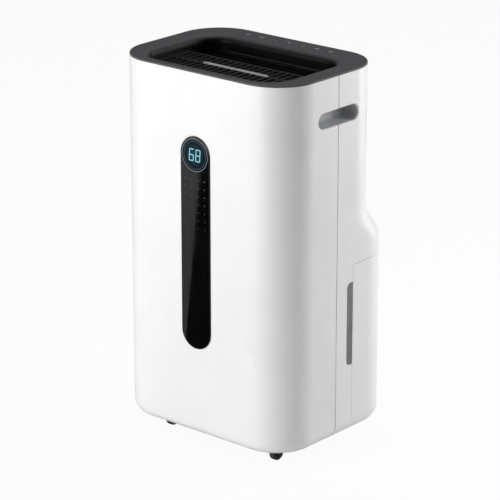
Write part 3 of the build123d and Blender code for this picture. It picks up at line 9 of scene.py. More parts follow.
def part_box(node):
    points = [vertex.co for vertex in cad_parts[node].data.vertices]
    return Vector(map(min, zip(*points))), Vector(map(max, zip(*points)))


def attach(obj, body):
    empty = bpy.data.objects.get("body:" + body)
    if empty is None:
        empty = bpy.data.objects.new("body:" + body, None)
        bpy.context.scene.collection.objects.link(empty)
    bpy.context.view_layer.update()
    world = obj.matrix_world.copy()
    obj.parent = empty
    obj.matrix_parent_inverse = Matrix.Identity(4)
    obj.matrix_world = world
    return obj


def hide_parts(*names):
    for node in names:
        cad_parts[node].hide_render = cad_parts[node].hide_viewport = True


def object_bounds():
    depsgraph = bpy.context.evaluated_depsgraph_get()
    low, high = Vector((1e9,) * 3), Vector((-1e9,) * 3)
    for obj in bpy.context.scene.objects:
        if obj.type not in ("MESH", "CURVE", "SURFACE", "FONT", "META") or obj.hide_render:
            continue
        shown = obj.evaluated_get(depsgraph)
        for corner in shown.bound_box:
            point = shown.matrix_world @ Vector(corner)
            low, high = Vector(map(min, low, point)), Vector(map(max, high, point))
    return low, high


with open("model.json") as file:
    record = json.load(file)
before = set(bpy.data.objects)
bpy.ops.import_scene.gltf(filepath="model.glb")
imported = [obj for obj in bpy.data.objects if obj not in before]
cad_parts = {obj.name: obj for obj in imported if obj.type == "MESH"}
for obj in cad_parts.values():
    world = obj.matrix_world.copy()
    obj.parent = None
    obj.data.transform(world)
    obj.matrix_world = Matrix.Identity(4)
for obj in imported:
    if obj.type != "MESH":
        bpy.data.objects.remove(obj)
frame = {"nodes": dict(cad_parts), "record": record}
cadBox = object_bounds()
mm = 0.001
print("frame loaded:", len(frame["nodes"]), "nodes")


def linear(hexText):
    channels = [int(hexText[i:i + 2], 16) / 255 for i in (0, 2, 4)]
    return [c / 12.92 if c <= 0.04045 else ((c + 0.055) / 1.055) ** 2.4 for c in channels] + [1.0]


def newMaterial(name, sockets):
    material = bpy.data.materials.new(name)
    material.use_nodes = True
    for socket, value in sockets.items():
        material.node_tree.nodes["Principled BSDF"].inputs[socket].default_value = value
    return material


def addNode(material, kind, inputs=None, into=None, **settings):
    # inputs: socket name or number to a value or an output
    # into: the shader's socket that the node's first output feeds
    tree = material.node_tree
    node = tree.nodes.new(kind)
    for setting, value in settings.items():
        setattr(node, setting, value)
    for socket, value in (inputs or {}).items():
        if isinstance(value, bpy.types.NodeSocket):
            tree.links.new(value, node.inputs[socket])
        else:
            node.inputs[socket].default_value = value
    if into:
        tree.links.new(result(node), tree.nodes["Principled BSDF"].inputs[into])
    return node


def result(node):
    return [output for output in node.outputs if output.enabled][0]


def objectPlace(material, stretch=(1, 1, 1)):
    place = addNode(material, "ShaderNodeTexCoord").outputs["Object"]
    return addNode(material, "ShaderNodeMapping", {"Vector": place, "Scale": stretch}).outputs["Vector"]


def mouldedGrain(material, grainMm, depthMm, roughness, patchMm=45, stretch=(1, 1, 1)):
    # the pits that a spark-eroded mould leaves, and wide patches where the gloss differs a little
    place = objectPlace(material, stretch)
    pits = addNode(material, "ShaderNodeTexNoise",
                   {"Vector": place, "Scale": 1 / (grainMm * mm), "Detail": 3, "Roughness": 0.55})
    addNode(material, "ShaderNodeBump",
            {"Height": pits.outputs["Fac"], "Distance": depthMm * mm, "Strength": 1}, "Normal")
    patches = addNode(material, "ShaderNodeTexNoise",
                      {"Vector": place, "Scale": 1 / (patchMm * mm), "Detail": 4})
    addNode(material, "ShaderNodeMapRange",
            {"Value": patches.outputs["Fac"], "From Min": 0.3, "From Max": 0.7,
             "To Min": roughness[0], "To Max": roughness[1]}, "Roughness")
    return {"pits": pits.outputs["Fac"], "patches": patches.outputs["Fac"]}


def tintBetween(material, factor, darkHex, lightHex, low=0.3, high=0.7):
    ramp = addNode(material, "ShaderNodeValToRGB", {"Fac": factor}, "Base Color")
    ramp.color_ramp.elements[0].position = low
    ramp.color_ramp.elements[0].color = linear(darkHex)
    ramp.color_ramp.elements[1].position = high
    ramp.color_ramp.elements[1].color = linear(lightHex)


def satinWhiteAbs():
    # moulded ABS, spark-eroded satin: a clean white whose highlights are broad and soft
    material = newMaterial("satinWhiteAbs", {"IOR": 1.53})
    surface = mouldedGrain(material, 1.1, 0.012, (0.3, 0.37), 70)
    tintBetween(material, surface["patches"], "F1F1F0", "F5F5F4")
    return material


topPanel = {
    "shadeStartDepth": 1.5 * mm,  # the charcoal of the rim ends here, below the top, and the painted shade of the dish begins
    "shadeFullDepth": 7.0 * mm,  # painted shade, all black from here down
}


def grainedCharcoalAbs():
    # moulded ABS in charcoal with a coarse grain: a grey sheen on the rim, and painted shade that goes
    # near black down inside the dish, so that the outlet looks deep
    material = newMaterial("grainedCharcoalAbs", {"IOR": 1.53, "Specular IOR Level": 0.15})
    surface = mouldedGrain(material, 1.4, 0.06, (0.42, 0.54), 30)
    height = addNode(material, "ShaderNodeSeparateXYZ", {"Vector": objectPlace(material)}).outputs["Z"]
    top = cadBox[1].z
    # painted shade: below the rim the charcoal fades to near black inside the dish
    dishShade = addNode(material, "ShaderNodeMapRange",
                   {"Value": height, "From Min": top - topPanel["shadeFullDepth"],
                    "From Max": top - topPanel["shadeStartDepth"]})
    rim = addNode(material, "ShaderNodeMix",
                  {0: surface["pits"], 6: linear("4B4C4F"), 7: linear("6A6B6E")}, data_type="RGBA")
    addNode(material, "ShaderNodeMix",
            {0: result(dishShade), 6: linear("020203"), 7: result(rim)}, "Base Color", data_type="RGBA")
    return material


def satinBlackAbs():
    # moulded ABS in black with a fine grain: nearly black, with a thin grey edge light
    material = newMaterial("satinBlackAbs", {"IOR": 1.53})
    surface = mouldedGrain(material, 0.8, 0.015, (0.3, 0.42), 20)
    tintBetween(material, surface["patches"], "0E0E0F", "151517")
    return material


def outletShadeBlackAbs():
    # black ABS left rough from the mould, with no sheen; its near-black colour is painted shade,
    # so that the blades sink into the dark of the outlet
    material = newMaterial("outletShadeBlackAbs", {"IOR": 1.53, "Specular IOR Level": 0.12})
    surface = mouldedGrain(material, 0.9, 0.03, (0.6, 0.75), 20)
    tintBetween(material, surface["pits"], "040405", "09090A")
    return material


def silverPaintedAbs():
    # ABS sprayed with silver lacquer: light grey with a lengthwise silky sheen
    material = newMaterial("silverPaintedAbs",
                           {"Metallic": 0.15, "Coat Weight": 0.3, "Coat Roughness": 0.25})
    surface = mouldedGrain(material, 0.9, 0.006, (0.3, 0.42), 12, (0.08, 1, 1))
    tintBetween(material, surface["pits"], "D2D3D5", "E6E7E9")
    return material


def blackAcrylic():
    # tinted acrylic, polished: a deep black that mirrors softly, with faint wiping marks
    material = newMaterial("blackAcrylic", {"IOR": 1.49})
    place = objectPlace(material, (1, 1, 0.25))
    marks = addNode(material, "ShaderNodeTexNoise",
                    {"Vector": place, "Scale": 1 / (22 * mm), "Detail": 5})
    addNode(material, "ShaderNodeMapRange",
            {"Value": marks.outputs["Fac"], "From Min": 0.35, "From Max": 0.7,
             "To Min": 0.015, "To Max": 0.06}, "Roughness")
    tintBetween(material, marks.outputs["Fac"], "060607", "0B0B0D")
    return material


def lightGuideAcrylic():
    # frosted acrylic that spreads a lamp's light: milky, with soft edges
    material = newMaterial("lightGuideAcrylic", {"IOR": 1.49, "Subsurface Weight": 0.3})
    surface = mouldedGrain(material, 0.7, 0.02, (0.4, 0.5), 15)
    tintBetween(material, surface["patches"], "C4D4DA", "DCE8EC")
    return material


def grainedGreyAbs():
    # moulded ABS in light grey with a hand-friendly grain: dull, darker in its pits
    material = newMaterial("grainedGreyAbs", {"IOR": 1.53})
    surface = mouldedGrain(material, 1.0, 0.04, (0.45, 0.56), 25)
    tintBetween(material, surface["pits"], "B2B4B7", "C6C8CA", 0.35, 0.65)
    return material


def smokedPolycarbonate():
    # smoke-tinted clear polycarbonate: a grey pane that shows a little of what is behind it
    material = newMaterial("smokedPolycarbonate", {"IOR": 1.58, "Transmission Weight": 0.35})
    surface = mouldedGrain(material, 2.5, 0.004, (0.14, 0.24), 18)
    tintBetween(material, surface["patches"], "7C7F83", "8B8E92")
    return material


def smokedPolypropylene():
    # smoke-tinted polypropylene: waxy, cloudy grey that lets some light through
    material = newMaterial("smokedPolypropylene", {"IOR": 1.49, "Transmission Weight": 0.25,
                                                   "Subsurface Weight": 0.2})
    surface = mouldedGrain(material, 1.6, 0.02, (0.28, 0.4), 40)
    tintBetween(material, surface["patches"], "8A9097", "A0A6AC")
    return material


def greyNylon():
    # moulded nylon in dark grey: tough and slightly waxy, with soft highlights
    material = newMaterial("greyNylon", {"IOR": 1.53})
    surface = mouldedGrain(material, 0.9, 0.02, (0.32, 0.44), 16)
    tintBetween(material, surface["patches"], "55585B", "64676A")
    return material


def beadFoam():
    # expanded polystyrene: white beads pressed together, each with its own outline
    material = newMaterial("beadFoam", {"IOR": 1.5, "Roughness": 0.8, "Subsurface Weight": 0.2})
    beads = addNode(material, "ShaderNodeTexVoronoi",
                    {"Vector": objectPlace(material), "Scale": 1 / (3 * mm)}, feature="F1")
    addNode(material, "ShaderNodeBump",
            {"Height": beads.outputs["Distance"], "Distance": 0.25 * mm, "Strength": 1},
            "Normal", invert=True)
    tintBetween(material, beads.outputs["Distance"], "F2F1ED", "DAD9D3", 0.2, 0.75)
    return material


def nylonNet():
    # woven nylon filament, black: fine shiny threads
    material = newMaterial("nylonNet", {"IOR": 1.53})
    surface = mouldedGrain(material, 0.5, 0.02, (0.32, 0.48), 20)
    tintBetween(material, surface["pits"], "1B1C1E", "303134")
    return material


def recycledBlackAbs():
    # unpolished black ABS as used inside: greyer, with flow marks
    material = newMaterial("recycledBlackAbs", {"IOR": 1.53})
    surface = mouldedGrain(material, 1.3, 0.03, (0.42, 0.6), 60, (1, 1, 0.3))
    tintBetween(material, surface["patches"], "26272A", "3A3B3E")
    return material


def glassFilledPolyamide():
    # glass-filled polyamide: black with a faint fibre bloom
    material = newMaterial("glassFilledPolyamide", {"IOR": 1.53})
    surface = mouldedGrain(material, 0.6, 0.02, (0.38, 0.55), 14, (0.2, 1, 1))
    tintBetween(material, surface["pits"], "151517", "28292C")
    return material


def finnedAluminium():
    # pressed aluminium fins side by side: fine bright edges, and painted shade for the dark gaps
    # between them; real pitch 1.8 mm
    material = newMaterial("finnedAluminium", {"Metallic": 1.0})
    finPitch = 1.8 * mm
    place = objectPlace(material)
    fins = addNode(material, "ShaderNodeTexWave",
                   {"Vector": place, "Scale": math.pi / (10 * finPitch), "Distortion": 0.0},
                   wave_type="BANDS", bands_direction="X", wave_profile="SIN")
    addNode(material, "ShaderNodeBump",
            {"Height": fins.outputs["Fac"], "Distance": 0.5 * mm, "Strength": 1}, "Normal")
    dents = addNode(material, "ShaderNodeTexNoise",
                    {"Vector": place, "Scale": 1 / (9 * mm), "Detail": 4})
    addNode(material, "ShaderNodeMapRange",
            {"Value": dents.outputs["Fac"], "To Min": 0.25, "To Max": 0.5}, "Roughness")
    # painted shade: the colour darkens in the gaps between the fins
    tintBetween(material, fins.outputs["Fac"], "6D7073", "C9CBCD", 0.2, 0.8)
    return material


def drawnCopper():
    # drawn copper tube: warm and bright, browned in patches by brazing heat
    material = newMaterial("drawnCopper", {"Metallic": 1.0})
    surface = mouldedGrain(material, 1.2, 0.01, (0.22, 0.4), 16)
    tintBetween(material, surface["patches"], "8A4A2C", "C87E55")
    return material


def blackEnamel():
    # stoved enamel on steel: glossy black with a slight orange peel
    material = newMaterial("blackEnamel", {"IOR": 1.5, "Coat Weight": 0.4, "Coat Roughness": 0.12})
    surface = mouldedGrain(material, 3.0, 0.03, (0.22, 0.34), 40)
    tintBetween(material, surface["patches"], "0D0D0E", "161617")
    return material


def zincedSteel():
    # zinc-plated steel sheet: cool grey, with the faint crystals of the plating
    material = newMaterial("zincedSteel", {"Metallic": 1.0})
    crystals = addNode(material, "ShaderNodeTexVoronoi",
                       {"Vector": objectPlace(material), "Scale": 1 / (5 * mm)}, feature="F1")
    addNode(material, "ShaderNodeMapRange",
            {"Value": crystals.outputs["Distance"], "To Min": 0.26, "To Max": 0.45}, "Roughness")
    tintBetween(material, crystals.outputs["Distance"], "A2A5A8", "B6B9BB", 0.1, 0.8)
    return material


def drawnAluminium():
    # deep-drawn aluminium can: bright, with fine draw lines along its length
    material = newMaterial("drawnAluminium", {"Metallic": 1.0})
    surface = mouldedGrain(material, 0.6, 0.01, (0.25, 0.4), 10, (1, 1, 0.06))
    tintBetween(material, surface["pits"], "B4B6B8", "CED0D1")
    return material


def mattRubber():
    # moulded rubber: matt black with a dusty bloom
    material = newMaterial("mattRubber", {"IOR": 1.52})
    surface = mouldedGrain(material, 0.8, 0.03, (0.62, 0.8), 12)
    tintBetween(material, surface["patches"], "171718", "262627")
    return material


def treadRubber():
    # soft grey-black tread: matt, scuffed lighter where it rolls
    material = newMaterial("treadRubber", {"IOR": 1.52})
    surface = mouldedGrain(material, 0.7, 0.03, (0.6, 0.78), 6)
    tintBetween(material, surface["patches"], "1C1C1E", "303032")
    return material


def solderMask():
    # a printed circuit board: green solder mask over copper tracks, which stand up faintly
    material = newMaterial("solderMask", {"IOR": 1.5, "Roughness": 0.28})
    tracks = addNode(material, "ShaderNodeTexBrick",
                     {"Vector": objectPlace(material), "Scale": 1 / (4 * mm), "Mortar Size": 0.12,
                      "Color1": linear("145233"), "Color2": linear("175B39"),
                      "Mortar": linear("1F7A4C")}, "Base Color", offset=0.37)
    addNode(material, "ShaderNodeBump",
            {"Height": tracks.outputs["Fac"], "Distance": 0.05 * mm, "Strength": 1}, "Normal")
    return material


def lampPrint(name, hexText, strength, fadeMm=None):
    # ink that a lamp behind the acrylic lights up: even light, and a long field has a dimmer lower end
    material = newMaterial(name, {"Base Color": linear("101417"), "Roughness": 0.3,
                                  "Specular IOR Level": 0.2, "Emission Color": linear(hexText),
                                  "Emission Strength": strength})
    if fadeMm:
        place = addNode(material, "ShaderNodeSeparateXYZ", {"Vector": objectPlace(material)})
        addNode(material, "ShaderNodeMapRange",
                {"Value": place.outputs["Z"], "From Min": fadeMm[0] * mm, "From Max": fadeMm[1] * mm,
                 "To Min": 0.0, "To Max": strength}, "Emission Strength")
    return material


def whitePrint():
    # screen-printed white ink: flat and dull, a little thin in places
    material = newMaterial("whitePrint", {"IOR": 1.5, "Roughness": 0.5})
    ink = addNode(material, "ShaderNodeTexNoise",
                  {"Vector": objectPlace(material), "Scale": 1 / (0.6 * mm)})
    tintBetween(material, ink.outputs["Fac"], "B4B6BA", "D6D8DB")
    return material


blackAbs = satinBlackAbs()
charcoalAbs = grainedCharcoalAbs()
zincPlate = zincedSteel()
finishes = {
    "white_housing": satinWhiteAbs(),
    "black_top": charcoalAbs,
    "outlet_black": blackAbs,
    "satin_trim": silverPaintedAbs(),
    "key_black": charcoalAbs,
    "circuit_board": solderMask(),
    "display_black": blackAcrylic(),
    "light_guide": lightGuideAcrylic(),
    "grip_grey": grainedGreyAbs(),
    "window_grey": smokedPolycarbonate(),
    "tub_grey": smokedPolypropylene(),
    "handle_grey": greyNylon(),
    "float_foam": beadFoam(),
    "filter_net": nylonNet(),
    "inner_plastic": recycledBlackAbs(),
    "fan_plastic": glassFilledPolyamide(),
    "fin_aluminium": finnedAluminium(),
    "copper_tube": drawnCopper(),
    "compressor_black": blackEnamel(),
    "motor_steel": zincPlate,
    "capacitor_aluminium": drawnAluminium(),
    "rubber_black": mattRubber(),
    "screw_steel": zincPlate,
    "caster_black": blackAbs,
    "tread_black": treadRubber(),
}
for subpart in frame["record"]["subparts"]:
    mesh = frame["nodes"][subpart["node"]].data
    mesh.materials.clear()
    mesh.materials.append(finishes[subpart["material_slot"]])
outletShadeBlack = outletShadeBlackAbs()
# the louver blades deep in the outlet get the near-black painted shade
for node in ("louver_blade_1", "louver_blade_2", "louver_blade_3"):
    frame["nodes"][node].data.materials[0] = outletShadeBlack
print("finishes on all nodes")


weldWithin = 0.002 * mm


def finishPiece(name, bm, material, body):
    bmesh.ops.remove_doubles(bm, verts=bm.verts, dist=weldWithin)
    bmesh.ops.recalc_face_normals(bm, faces=bm.faces)
    mesh = bpy.data.meshes.new(name)
    bm.to_mesh(mesh)
    bm.free()
    mesh.materials.append(material)
    piece = bpy.data.objects.new(name, mesh)
    bpy.context.scene.collection.objects.link(piece)
    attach(piece, body)
    return piece


def smoothOver(piece, degrees):
    piece.data.shade_smooth()
    piece.data.set_sharp_from_angle(angle=math.radians(degrees))


def facingFront(x, y, z, turn=0):
    # puts a flat shape made in x and y upright, seen from the front
    upright = Matrix.Rotation(math.pi / 2, 4, "X")
    return Matrix.Translation((x, y, z)) @ upright @ Matrix.Rotation(turn, 4, "Z")


def addBar(bm, place, width, height, thick, point=0.0):
    # a flat bar, its ends cut to a point as on a segment display
    made = bmesh.ops.create_cube(bm, size=1, matrix=place @ Matrix.Diagonal((width, height, thick, 1)))
    if point:
        upright = (place.to_3x3() @ Vector((0, 0, 1))).normalized()
        edges = {e for v in made["verts"] for e in v.link_edges
                 if abs((e.verts[0].co - e.verts[1].co).normalized().dot(upright)) > 0.9}
        bmesh.ops.bevel(bm, geom=list(edges), offset=point, offset_type="OFFSET", segments=1,
                        profile=0.5, affect="EDGES", material=-1)


display = {
    "digits": "68",
    "digitW": 9.4 * mm,
    "digitH": 19.0 * mm,
    "digitPitch": 12.4 * mm,
    "digitLight": 0.72,
    "stroke": 1.7 * mm,
    "strokeGap": 0.35 * mm,
    "strokeReach": 0.55,  # how far a stroke reaches into its corners, in widths of the stroke
    "strokePoint": 0.42,  # how far its ends are cut back to a point, in the same widths
    "slant": 4.0,  # degrees
    "print": 0.12 * mm,
    "sunk": 0.02 * mm,  # how deep a print lies in the glass
    "inset": 0.14 * mm,  # from the front of the box back to the glass, so that the prints fit
    "outlineSteps": 96,
    "edge": 1.3 * mm,
    "edgeSegments": 5,
    "border": 0.2 * mm,
    "smooth": 35,  # degrees
    "rings": {  # radius, width and light
        "displayRingOuter": (24.3 * mm, 1.1 * mm, 0.5),
        "displayRingInner": (20.6 * mm, 0.8 * mm, 0.22),
    },
    "ringSteps": 64,
    "glowR": 23.3 * mm,
    "glowLight": 0.3,
    "glowBehind": 0.03 * mm,  # from the digits back to the glow
    "dotR": 1.15 * mm,
    "dotSteps": 12,
    "dotLight": 0.2,
    "dotColumns": 4,
    "dotRows": 7,
    "dotPitch": 12.2 * mm,
    "dotsDrop": 37.0 * mm,  # first row below the middle of the ring
}
lensLow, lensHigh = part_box("display_lens")
glassY = lensLow.y + display["inset"]
ringZ = lensHigh.z - (lensHigh.x - lensLow.x) / 2
printY = glassY - display["print"] / 2 + display["sunk"]


def addDisc(bm, place, radius, thick, steps):
    bmesh.ops.create_cone(bm, cap_ends=True, segments=steps, radius1=radius, radius2=radius,
                          depth=thick, matrix=place)


def addFlatRing(bm, place, radius, width, thick, steps, start=0.0, turn=2 * math.pi):
    # spins a small rectangle round the middle of the ring
    corners = [(radius - width / 2, -thick / 2), (radius + width / 2, -thick / 2),
               (radius + width / 2, thick / 2), (radius - width / 2, thick / 2)]
    begin = place @ Matrix.Rotation(start, 4, "Z")
    verts = [bm.verts.new(begin @ Vector((x, 0, z))) for x, z in corners]
    face = bm.faces.new(verts)
    whole = turn >= 2 * math.pi
    axis = place.to_3x3() @ Vector((0, 0, 1))
    made = bmesh.ops.spin(bm, geom=[face] + list(face.edges) + verts, cent=place.translation, axis=axis,
                          angle=turn, steps=steps, use_merge=whole, use_duplicate=False)
    if whole:
        bmesh.ops.delete(bm, geom=[f for f in made["geom_last"] if isinstance(f, bmesh.types.BMFace)]
                         + ([face] if face.is_valid else []), context="FACES_ONLY")


segmentsOf = {"0": "abcdef", "1": "bc", "2": "abged", "3": "abgcd", "4": "fgbc",
              "5": "afgcd", "6": "afgedc", "7": "abc", "8": "abcdefg", "9": "abcdfg"}


def makeLens():
    # a stadium drawn out from a circle, its front edge rounded over
    radius = (lensHigh.x - lensLow.x) / 2
    bm = bmesh.new()
    steps = display["outlineSteps"]
    middle = facingFront((lensLow.x + lensHigh.x) / 2, lensHigh.y, ringZ, math.pi / steps)
    bmesh.ops.create_circle(bm, cap_ends=True, segments=steps, radius=radius, matrix=middle)
    lower = [vert for vert in bm.verts if vert.co.z < ringZ]
    bmesh.ops.translate(bm, verts=lower, vec=(0, 0, lensLow.z + 2 * radius - lensHigh.z))
    front = bmesh.ops.extrude_face_region(bm, geom=list(bm.faces))["geom"]
    frontVerts = [item for item in front if isinstance(item, bmesh.types.BMVert)]
    bmesh.ops.translate(bm, verts=frontVerts, vec=(0, glassY - lensHigh.y, 0))
    rim = [edge for edge in bm.edges if all(vert in frontVerts for vert in edge.verts)]
    bmesh.ops.bevel(bm, geom=rim, offset=display["edge"], offset_type="OFFSET",
                    segments=display["edgeSegments"], profile=0.5, affect="EDGES", material=-1)
    # a narrow flat border takes up the shading of the edge, so that the pane itself mirrors straight
    pane = min(bm.faces, key=lambda face: face.calc_center_median().y)
    bmesh.ops.inset_region(bm, faces=[pane], thickness=display["border"])
    piece = finishPiece("displayGlass", bm, finishes["display_black"], "cabinet")
    smoothOver(piece, display["smooth"])
    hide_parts("display_lens")


def makeDigits():
    bm = bmesh.new()
    s = display["stroke"]
    w, h = display["digitW"] - s, display["digitH"] - s
    places = {"a": (0, h / 2, 0), "g": (0, 0, 0), "d": (0, -h / 2, 0), "f": (-w / 2, h / 4, 1),
              "b": (w / 2, h / 4, 1), "e": (-w / 2, -h / 4, 1), "c": (w / 2, -h / 4, 1)}
    for index, digit in enumerate(display["digits"]):
        middle = (index - (len(display["digits"]) - 1) / 2) * display["digitPitch"]
        for segment in segmentsOf[digit]:
            x, z, upright = places[segment]
            length = (h / 2 if upright else w) + s * display["strokeReach"] - display["strokeGap"]
            place = facingFront(middle + x, printY, ringZ + z, upright * math.pi / 2)
            addBar(bm, place, length, s, display["print"], s * display["strokePoint"])
    slant = math.tan(math.radians(display["slant"]))
    for vert in bm.verts:
        vert.co.x += (vert.co.z - ringZ) * slant
    lamp = lampPrint("digitLamp", "A8ECFA", display["digitLight"])
    finishPiece("displayDigits", bm, lamp, "cabinet")


def makeDisplayRings():
    for name, (radius, width, light) in display["rings"].items():
        bm = bmesh.new()
        addFlatRing(bm, facingFront(0, printY, ringZ), radius, width, display["print"],
                    display["ringSteps"])
        finishPiece(name, bm, lampPrint(name + "Lamp", "8FA3BC", light), "cabinet")


def makeDisplayGlow():
    bm = bmesh.new()
    radius = display["glowR"]
    behind = facingFront(0, printY + display["glowBehind"], ringZ)
    addDisc(bm, behind, radius, display["print"], display["ringSteps"])
    # a lit film round the digits: teal in the middle, dark at its rim
    material = newMaterial("glowLamp", {"Base Color": linear("05080A"), "Roughness": 0.1,
                                        "Specular IOR Level": 0.12,
                                        "Emission Strength": display["glowLight"]})
    place = addNode(material, "ShaderNodeTexCoord").outputs["Object"]
    around = addNode(material, "ShaderNodeMapping",
                     {"Vector": place, "Location": (0, -printY / radius, -ringZ / radius),
                      "Scale": (1 / radius,) * 3}).outputs["Vector"]
    halo = addNode(material, "ShaderNodeTexGradient", {"Vector": around}, gradient_type="SPHERICAL")
    ramp = addNode(material, "ShaderNodeValToRGB", {"Fac": halo.outputs["Fac"]}, "Emission Color")
    ramp.color_ramp.elements[0].position = 0.15
    ramp.color_ramp.elements[0].color = linear("02060C")
    ramp.color_ramp.elements[1].position = 0.85
    ramp.color_ramp.elements[1].color = linear("1E6E86")
    finishPiece("displayGlow", bm, material, "cabinet")


def makeDots():
    bm = bmesh.new()
    pitch = display["dotPitch"]
    top = ringZ - display["dotsDrop"]
    for column in range(display["dotColumns"]):
        for row in range(display["dotRows"]):
            x = (column - (display["dotColumns"] - 1) / 2) * pitch
            place = facingFront(x, printY, top - row * pitch)
            addDisc(bm, place, display["dotR"], display["print"], display["dotSteps"])
    low = (top - display["dotRows"] * pitch) / mm
    lamp = lampPrint("dotLamp", "A3938F", display["dotLight"], (low, top / mm))
    finishPiece("displayDots", bm, lamp, "cabinet")


makeLens()
makeDisplayGlow()
makeDisplayRings()
makeDigits()
makeDots()
print("display done")

keyMark = {
    "depth": 0.2 * mm,  # of the key's shallow dish, in which the mark lies
    "print": 0.08 * mm,
    "sunk": 0.01 * mm,
    "height": 6.0 * mm,
    "stroke": 1.0 * mm,
    "ringSteps": 28,
    "arcSteps": 24,
    "dotSteps": 16,
}


def lyingOn(x, y, z, turn=0):
    # a flat shape on top of a key
    return Matrix.Translation((x, y, z)) @ Matrix.Rotation(turn, 4, "Z")


# each mark is drawn round x, y on a key's top: h is its height and s the width of its lines
def markPower(bm, x, y, z, h, s, thick):
    addFlatRing(bm, lyingOn(x, y, z), h / 2, s, thick, keyMark["arcSteps"],
                math.radians(120), math.radians(300))
    addBar(bm, lyingOn(x, y + h * 0.3, z), s, h * 0.5, thick)


def markMode(bm, x, y, z, h, s, thick):
    addFlatRing(bm, lyingOn(x, y, z), h / 2, s, thick, keyMark["ringSteps"])
    addDisc(bm, lyingOn(x, y, z), h * 0.18, thick, keyMark["dotSteps"])


def markMinus(bm, x, y, z, h, s, thick):
    addBar(bm, lyingOn(x, y, z), h * 0.9, s, thick)


def markPlus(bm, x, y, z, h, s, thick):
    addBar(bm, lyingOn(x, y, z), h * 0.9, s, thick)
    for side in (-1, 1):
        addBar(bm, lyingOn(x, y + side * (h * 0.225 + s / 4), z), s, h * 0.45 - s / 2, thick)


def markFan(bm, x, y, z, h, s, thick):
    for step in (1, 2, 3):
        place = lyingOn(x + (step - 2) * h * 0.36, y - h * (3 - step) / 6, z)
        addBar(bm, place, s, h * step / 3, thick)


def markTimer(bm, x, y, z, h, s, thick):
    addFlatRing(bm, lyingOn(x, y, z), h / 2, s, thick, keyMark["ringSteps"])
    addBar(bm, lyingOn(x, y + h * 0.12, z), s, h * 0.3, thick)
    addBar(bm, lyingOn(x + h * 0.13 + s / 2, y, z), h * 0.2, s, thick)


def markSwing(bm, x, y, z, h, s, thick):
    for step in (-1, 0, 1):
        addBar(bm, lyingOn(x + step * h * 0.4, y, z, math.radians(-25)), s, h * 0.85, thick)


def makeKeyMarks():
    ink = whitePrint()
    draws = {"key_power": markPower, "key_mode": markMode, "key_humidity_down": markMinus,
             "key_humidity_up": markPlus, "key_fan_speed": markFan, "key_timer": markTimer,
             "key_swing": markSwing}
    for node, draw in draws.items():
        low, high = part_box(node)
        bm = bmesh.new()
        z = high.z - keyMark["depth"] + keyMark["print"] / 2 - keyMark["sunk"]
        draw(bm, (low.x + high.x) / 2, (low.y + high.y) / 2, z,
             keyMark["height"], keyMark["stroke"], keyMark["print"])
        finishPiece(node + "_mark", bm, ink, node)


makeKeyMarks()
print("key marks done")

net = {"pitch": 2.6 * mm, "thread": 0.45 * mm, "overlap": 0.02 * mm}


def makeNet():
    low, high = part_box("filter_mesh")
    middle = (low + high) / 2
    bm = bmesh.new()
    for axis, other, across in ((0, 2, high.x - low.x), (2, 0, high.z - low.z)):
        count = int(across / net["pitch"])
        for i in range(count + 1):
            centre = middle.copy()
            centre[axis] = low[axis] + net["thread"] / 2 + i * (across - net["thread"]) / count
            centre.y += (net["thread"] / 2 - net["overlap"]) * (1 if axis else -1)
            size = [net["thread"]] * 3
            size[other] = high[other] - low[other]
            thread = Matrix.Translation(centre) @ Matrix.Diagonal((*size, 1))
            bmesh.ops.create_cube(bm, size=1, matrix=thread)
    piece = finishPiece("filterNet", bm, finishes["filter_net"], "filter")
    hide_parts("filter_mesh")


makeNet()
print("filter net done")

studio = {
    "floor": "EDEDED",
    "floorSize": 30.0,
    "floorShare": 0.95,  # how much of the floor is plain white to the camera
    "worldLight": 0.1,
    "lamps": {  # azimuth from the front towards the right side, and height over the floor, in degrees
        "frontLamp": {"azimuth": -10, "elevation": 7, "distance": 3.0,
                      "size": (1.2, 1.6), "watts": 18.8},
        "windowLamp": {"azimuth": -22, "elevation": 6, "distance": 2.6,
                       "size": (3.0, 1.6), "watts": 53.5},
        "rearLamp": {"azimuth": 150, "elevation": 12, "distance": 2.6,
                     "size": (0.9, 1.4), "watts": 32.7},
        "sideLamp": {"azimuth": 125, "elevation": 12, "distance": 2.6,
                     "size": (0.9, 1.4), "watts": 6.2},
        "nearLamp": {"azimuth": 150, "elevation": 12, "distance": 1.1,
                     "size": (0.5, 0.8), "watts": 2.2},
        "topLamp": {"azimuth": 180, "elevation": 80, "distance": 2.3,
                    "size": (1.6, 1.2), "watts": 15.0},
    },
    "aim": (0.0, 0.0, 0.3),
    "flag": {"corner": (-0.595, -0.79, 0.002), "turn": -40.25, "width": 0.5, "length": 1.4},
}


def towards(azimuth, elevation):
    # 0, 0 is straight out in front; the azimuth grows towards the right side
    turn, rise = math.radians(azimuth), math.radians(elevation)
    return Vector((math.sin(turn) * math.cos(rise), -math.cos(turn) * math.cos(rise), math.sin(rise)))


def makeFloor():
    bm = bmesh.new()
    bmesh.ops.create_grid(bm, x_segments=1, y_segments=1, size=studio["floorSize"] / 2)
    mesh = bpy.data.meshes.new("floor")
    bm.to_mesh(mesh)
    bm.free()
    # pale paper: white where the camera looks at it in full light, with the shadow kept
    material = newMaterial("paper", {"Base Color": linear(studio["floor"]), "Roughness": 0.9,
                                     "Specular IOR Level": 0.1})
    tree = material.node_tree
    path = addNode(material, "ShaderNodeLightPath")
    paper = tree.nodes["Principled BSDF"]
    plain = addNode(material, "ShaderNodeEmission", {"Color": (1, 1, 1, 1), "Strength": 1.0})
    seen = addNode(material, "ShaderNodeMath",
                   {0: path.outputs["Is Camera Ray"], 1: studio["floorShare"]}, operation="MULTIPLY")
    blend = addNode(material, "ShaderNodeMixShader",
                    {0: seen.outputs[0], 1: paper.outputs[0], 2: plain.outputs[0]})
    tree.links.new(blend.outputs[0], tree.nodes["Material Output"].inputs["Surface"])
    mesh.materials.append(material)
    floor = bpy.data.objects.new("floor", mesh)
    bpy.context.scene.collection.objects.link(floor)


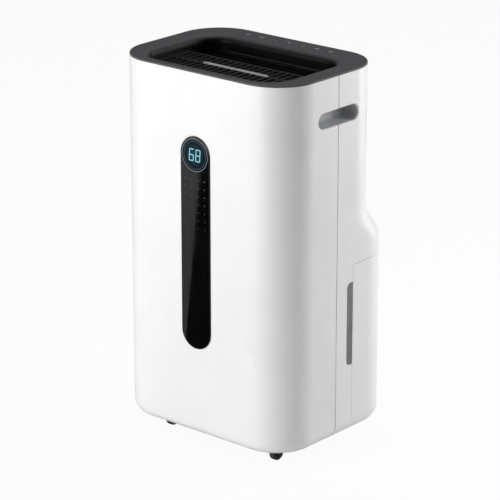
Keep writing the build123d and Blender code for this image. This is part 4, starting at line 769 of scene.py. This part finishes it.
def makeWorld():
    world = bpy.data.worlds.new("studioWorld")
    world.use_nodes = True
    # a faint white sky lights the object, and the camera sees it as plain white
    tree = world.node_tree
    path = addNode(world, "ShaderNodeLightPath")
    light = tree.nodes["Background"]
    light.inputs["Color"].default_value = (1, 1, 1, 1)
    light.inputs["Strength"].default_value = studio["worldLight"]
    plain = addNode(world, "ShaderNodeBackground", {"Color": (1, 1, 1, 1), "Strength": 1.0})
    mix = addNode(world, "ShaderNodeMixShader",
                  {0: path.outputs["Is Camera Ray"], 1: light.outputs[0], 2: plain.outputs[0]})
    tree.links.new(mix.outputs[0], tree.nodes["World Output"].inputs["Surface"])
    bpy.context.scene.world = world


def makeLamps():
    for name, values in studio["lamps"].items():
        lamp = bpy.data.lights.new(name, "AREA")
        lamp.shape = "RECTANGLE"
        lamp.size, lamp.size_y = values["size"]
        lamp.energy = values["watts"]
        holder = bpy.data.objects.new(name, lamp)
        outwards = towards(values["azimuth"], values["elevation"])
        holder.location = Vector(studio["aim"]) + outwards * values["distance"]
        holder.rotation_euler = outwards.to_track_quat("Z", "Y").to_euler()
        bpy.context.scene.collection.objects.link(holder)


view = {
    "azimuth": 40.572,
    "elevation": 18.962,
    "distance": 3.838,
    "lens": 186.46,  # millimetres
    "sensor": 36.0,  # millimetres
    "target": (0.02356, -0.03877, 0.30321),
}


def makeCamera():
    back = towards(view["azimuth"], view["elevation"])
    camera = bpy.data.objects.new("camera", bpy.data.cameras.new("camera"))
    camera.data.lens = view["lens"]
    camera.data.sensor_width = view["sensor"]
    camera.location = Vector(view["target"]) + back * view["distance"]
    camera.rotation_euler = back.to_track_quat("Z", "Y").to_euler()
    bpy.context.scene.collection.objects.link(camera)
    bpy.context.scene.camera = camera


def makeFlag():
    # a black card on the floor in front, off to the left: only mirrors see it, so the long display
    # shows one dark side and one grey side
    card = studio["flag"]
    bm = bmesh.new()
    corner = Matrix.Translation(card["corner"]) @ Matrix.Rotation(math.radians(card["turn"]), 4, "Z")
    sheet = (Matrix.Translation((card["width"] / 2, 0, 0))
             @ Matrix.Diagonal((card["width"], card["length"], 1, 1)))
    bmesh.ops.create_grid(bm, x_segments=1, y_segments=1, size=0.5, matrix=corner @ sheet)
    mesh = bpy.data.meshes.new("flag")
    bm.to_mesh(mesh)
    bm.free()
    mesh.materials.append(newMaterial("blackCard", {"Base Color": linear("050505"), "Roughness": 1.0,
                                                    "Specular IOR Level": 0.0}))
    flag = bpy.data.objects.new("flag", mesh)
    bpy.context.scene.collection.objects.link(flag)
    flag.visible_camera = False
    flag.visible_diffuse = False
    flag.visible_shadow = False


makeFloor()
makeFlag()
makeWorld()
makeLamps()
makeCamera()
bpy.context.scene.view_settings.view_transform = "Standard"
print("studio done")
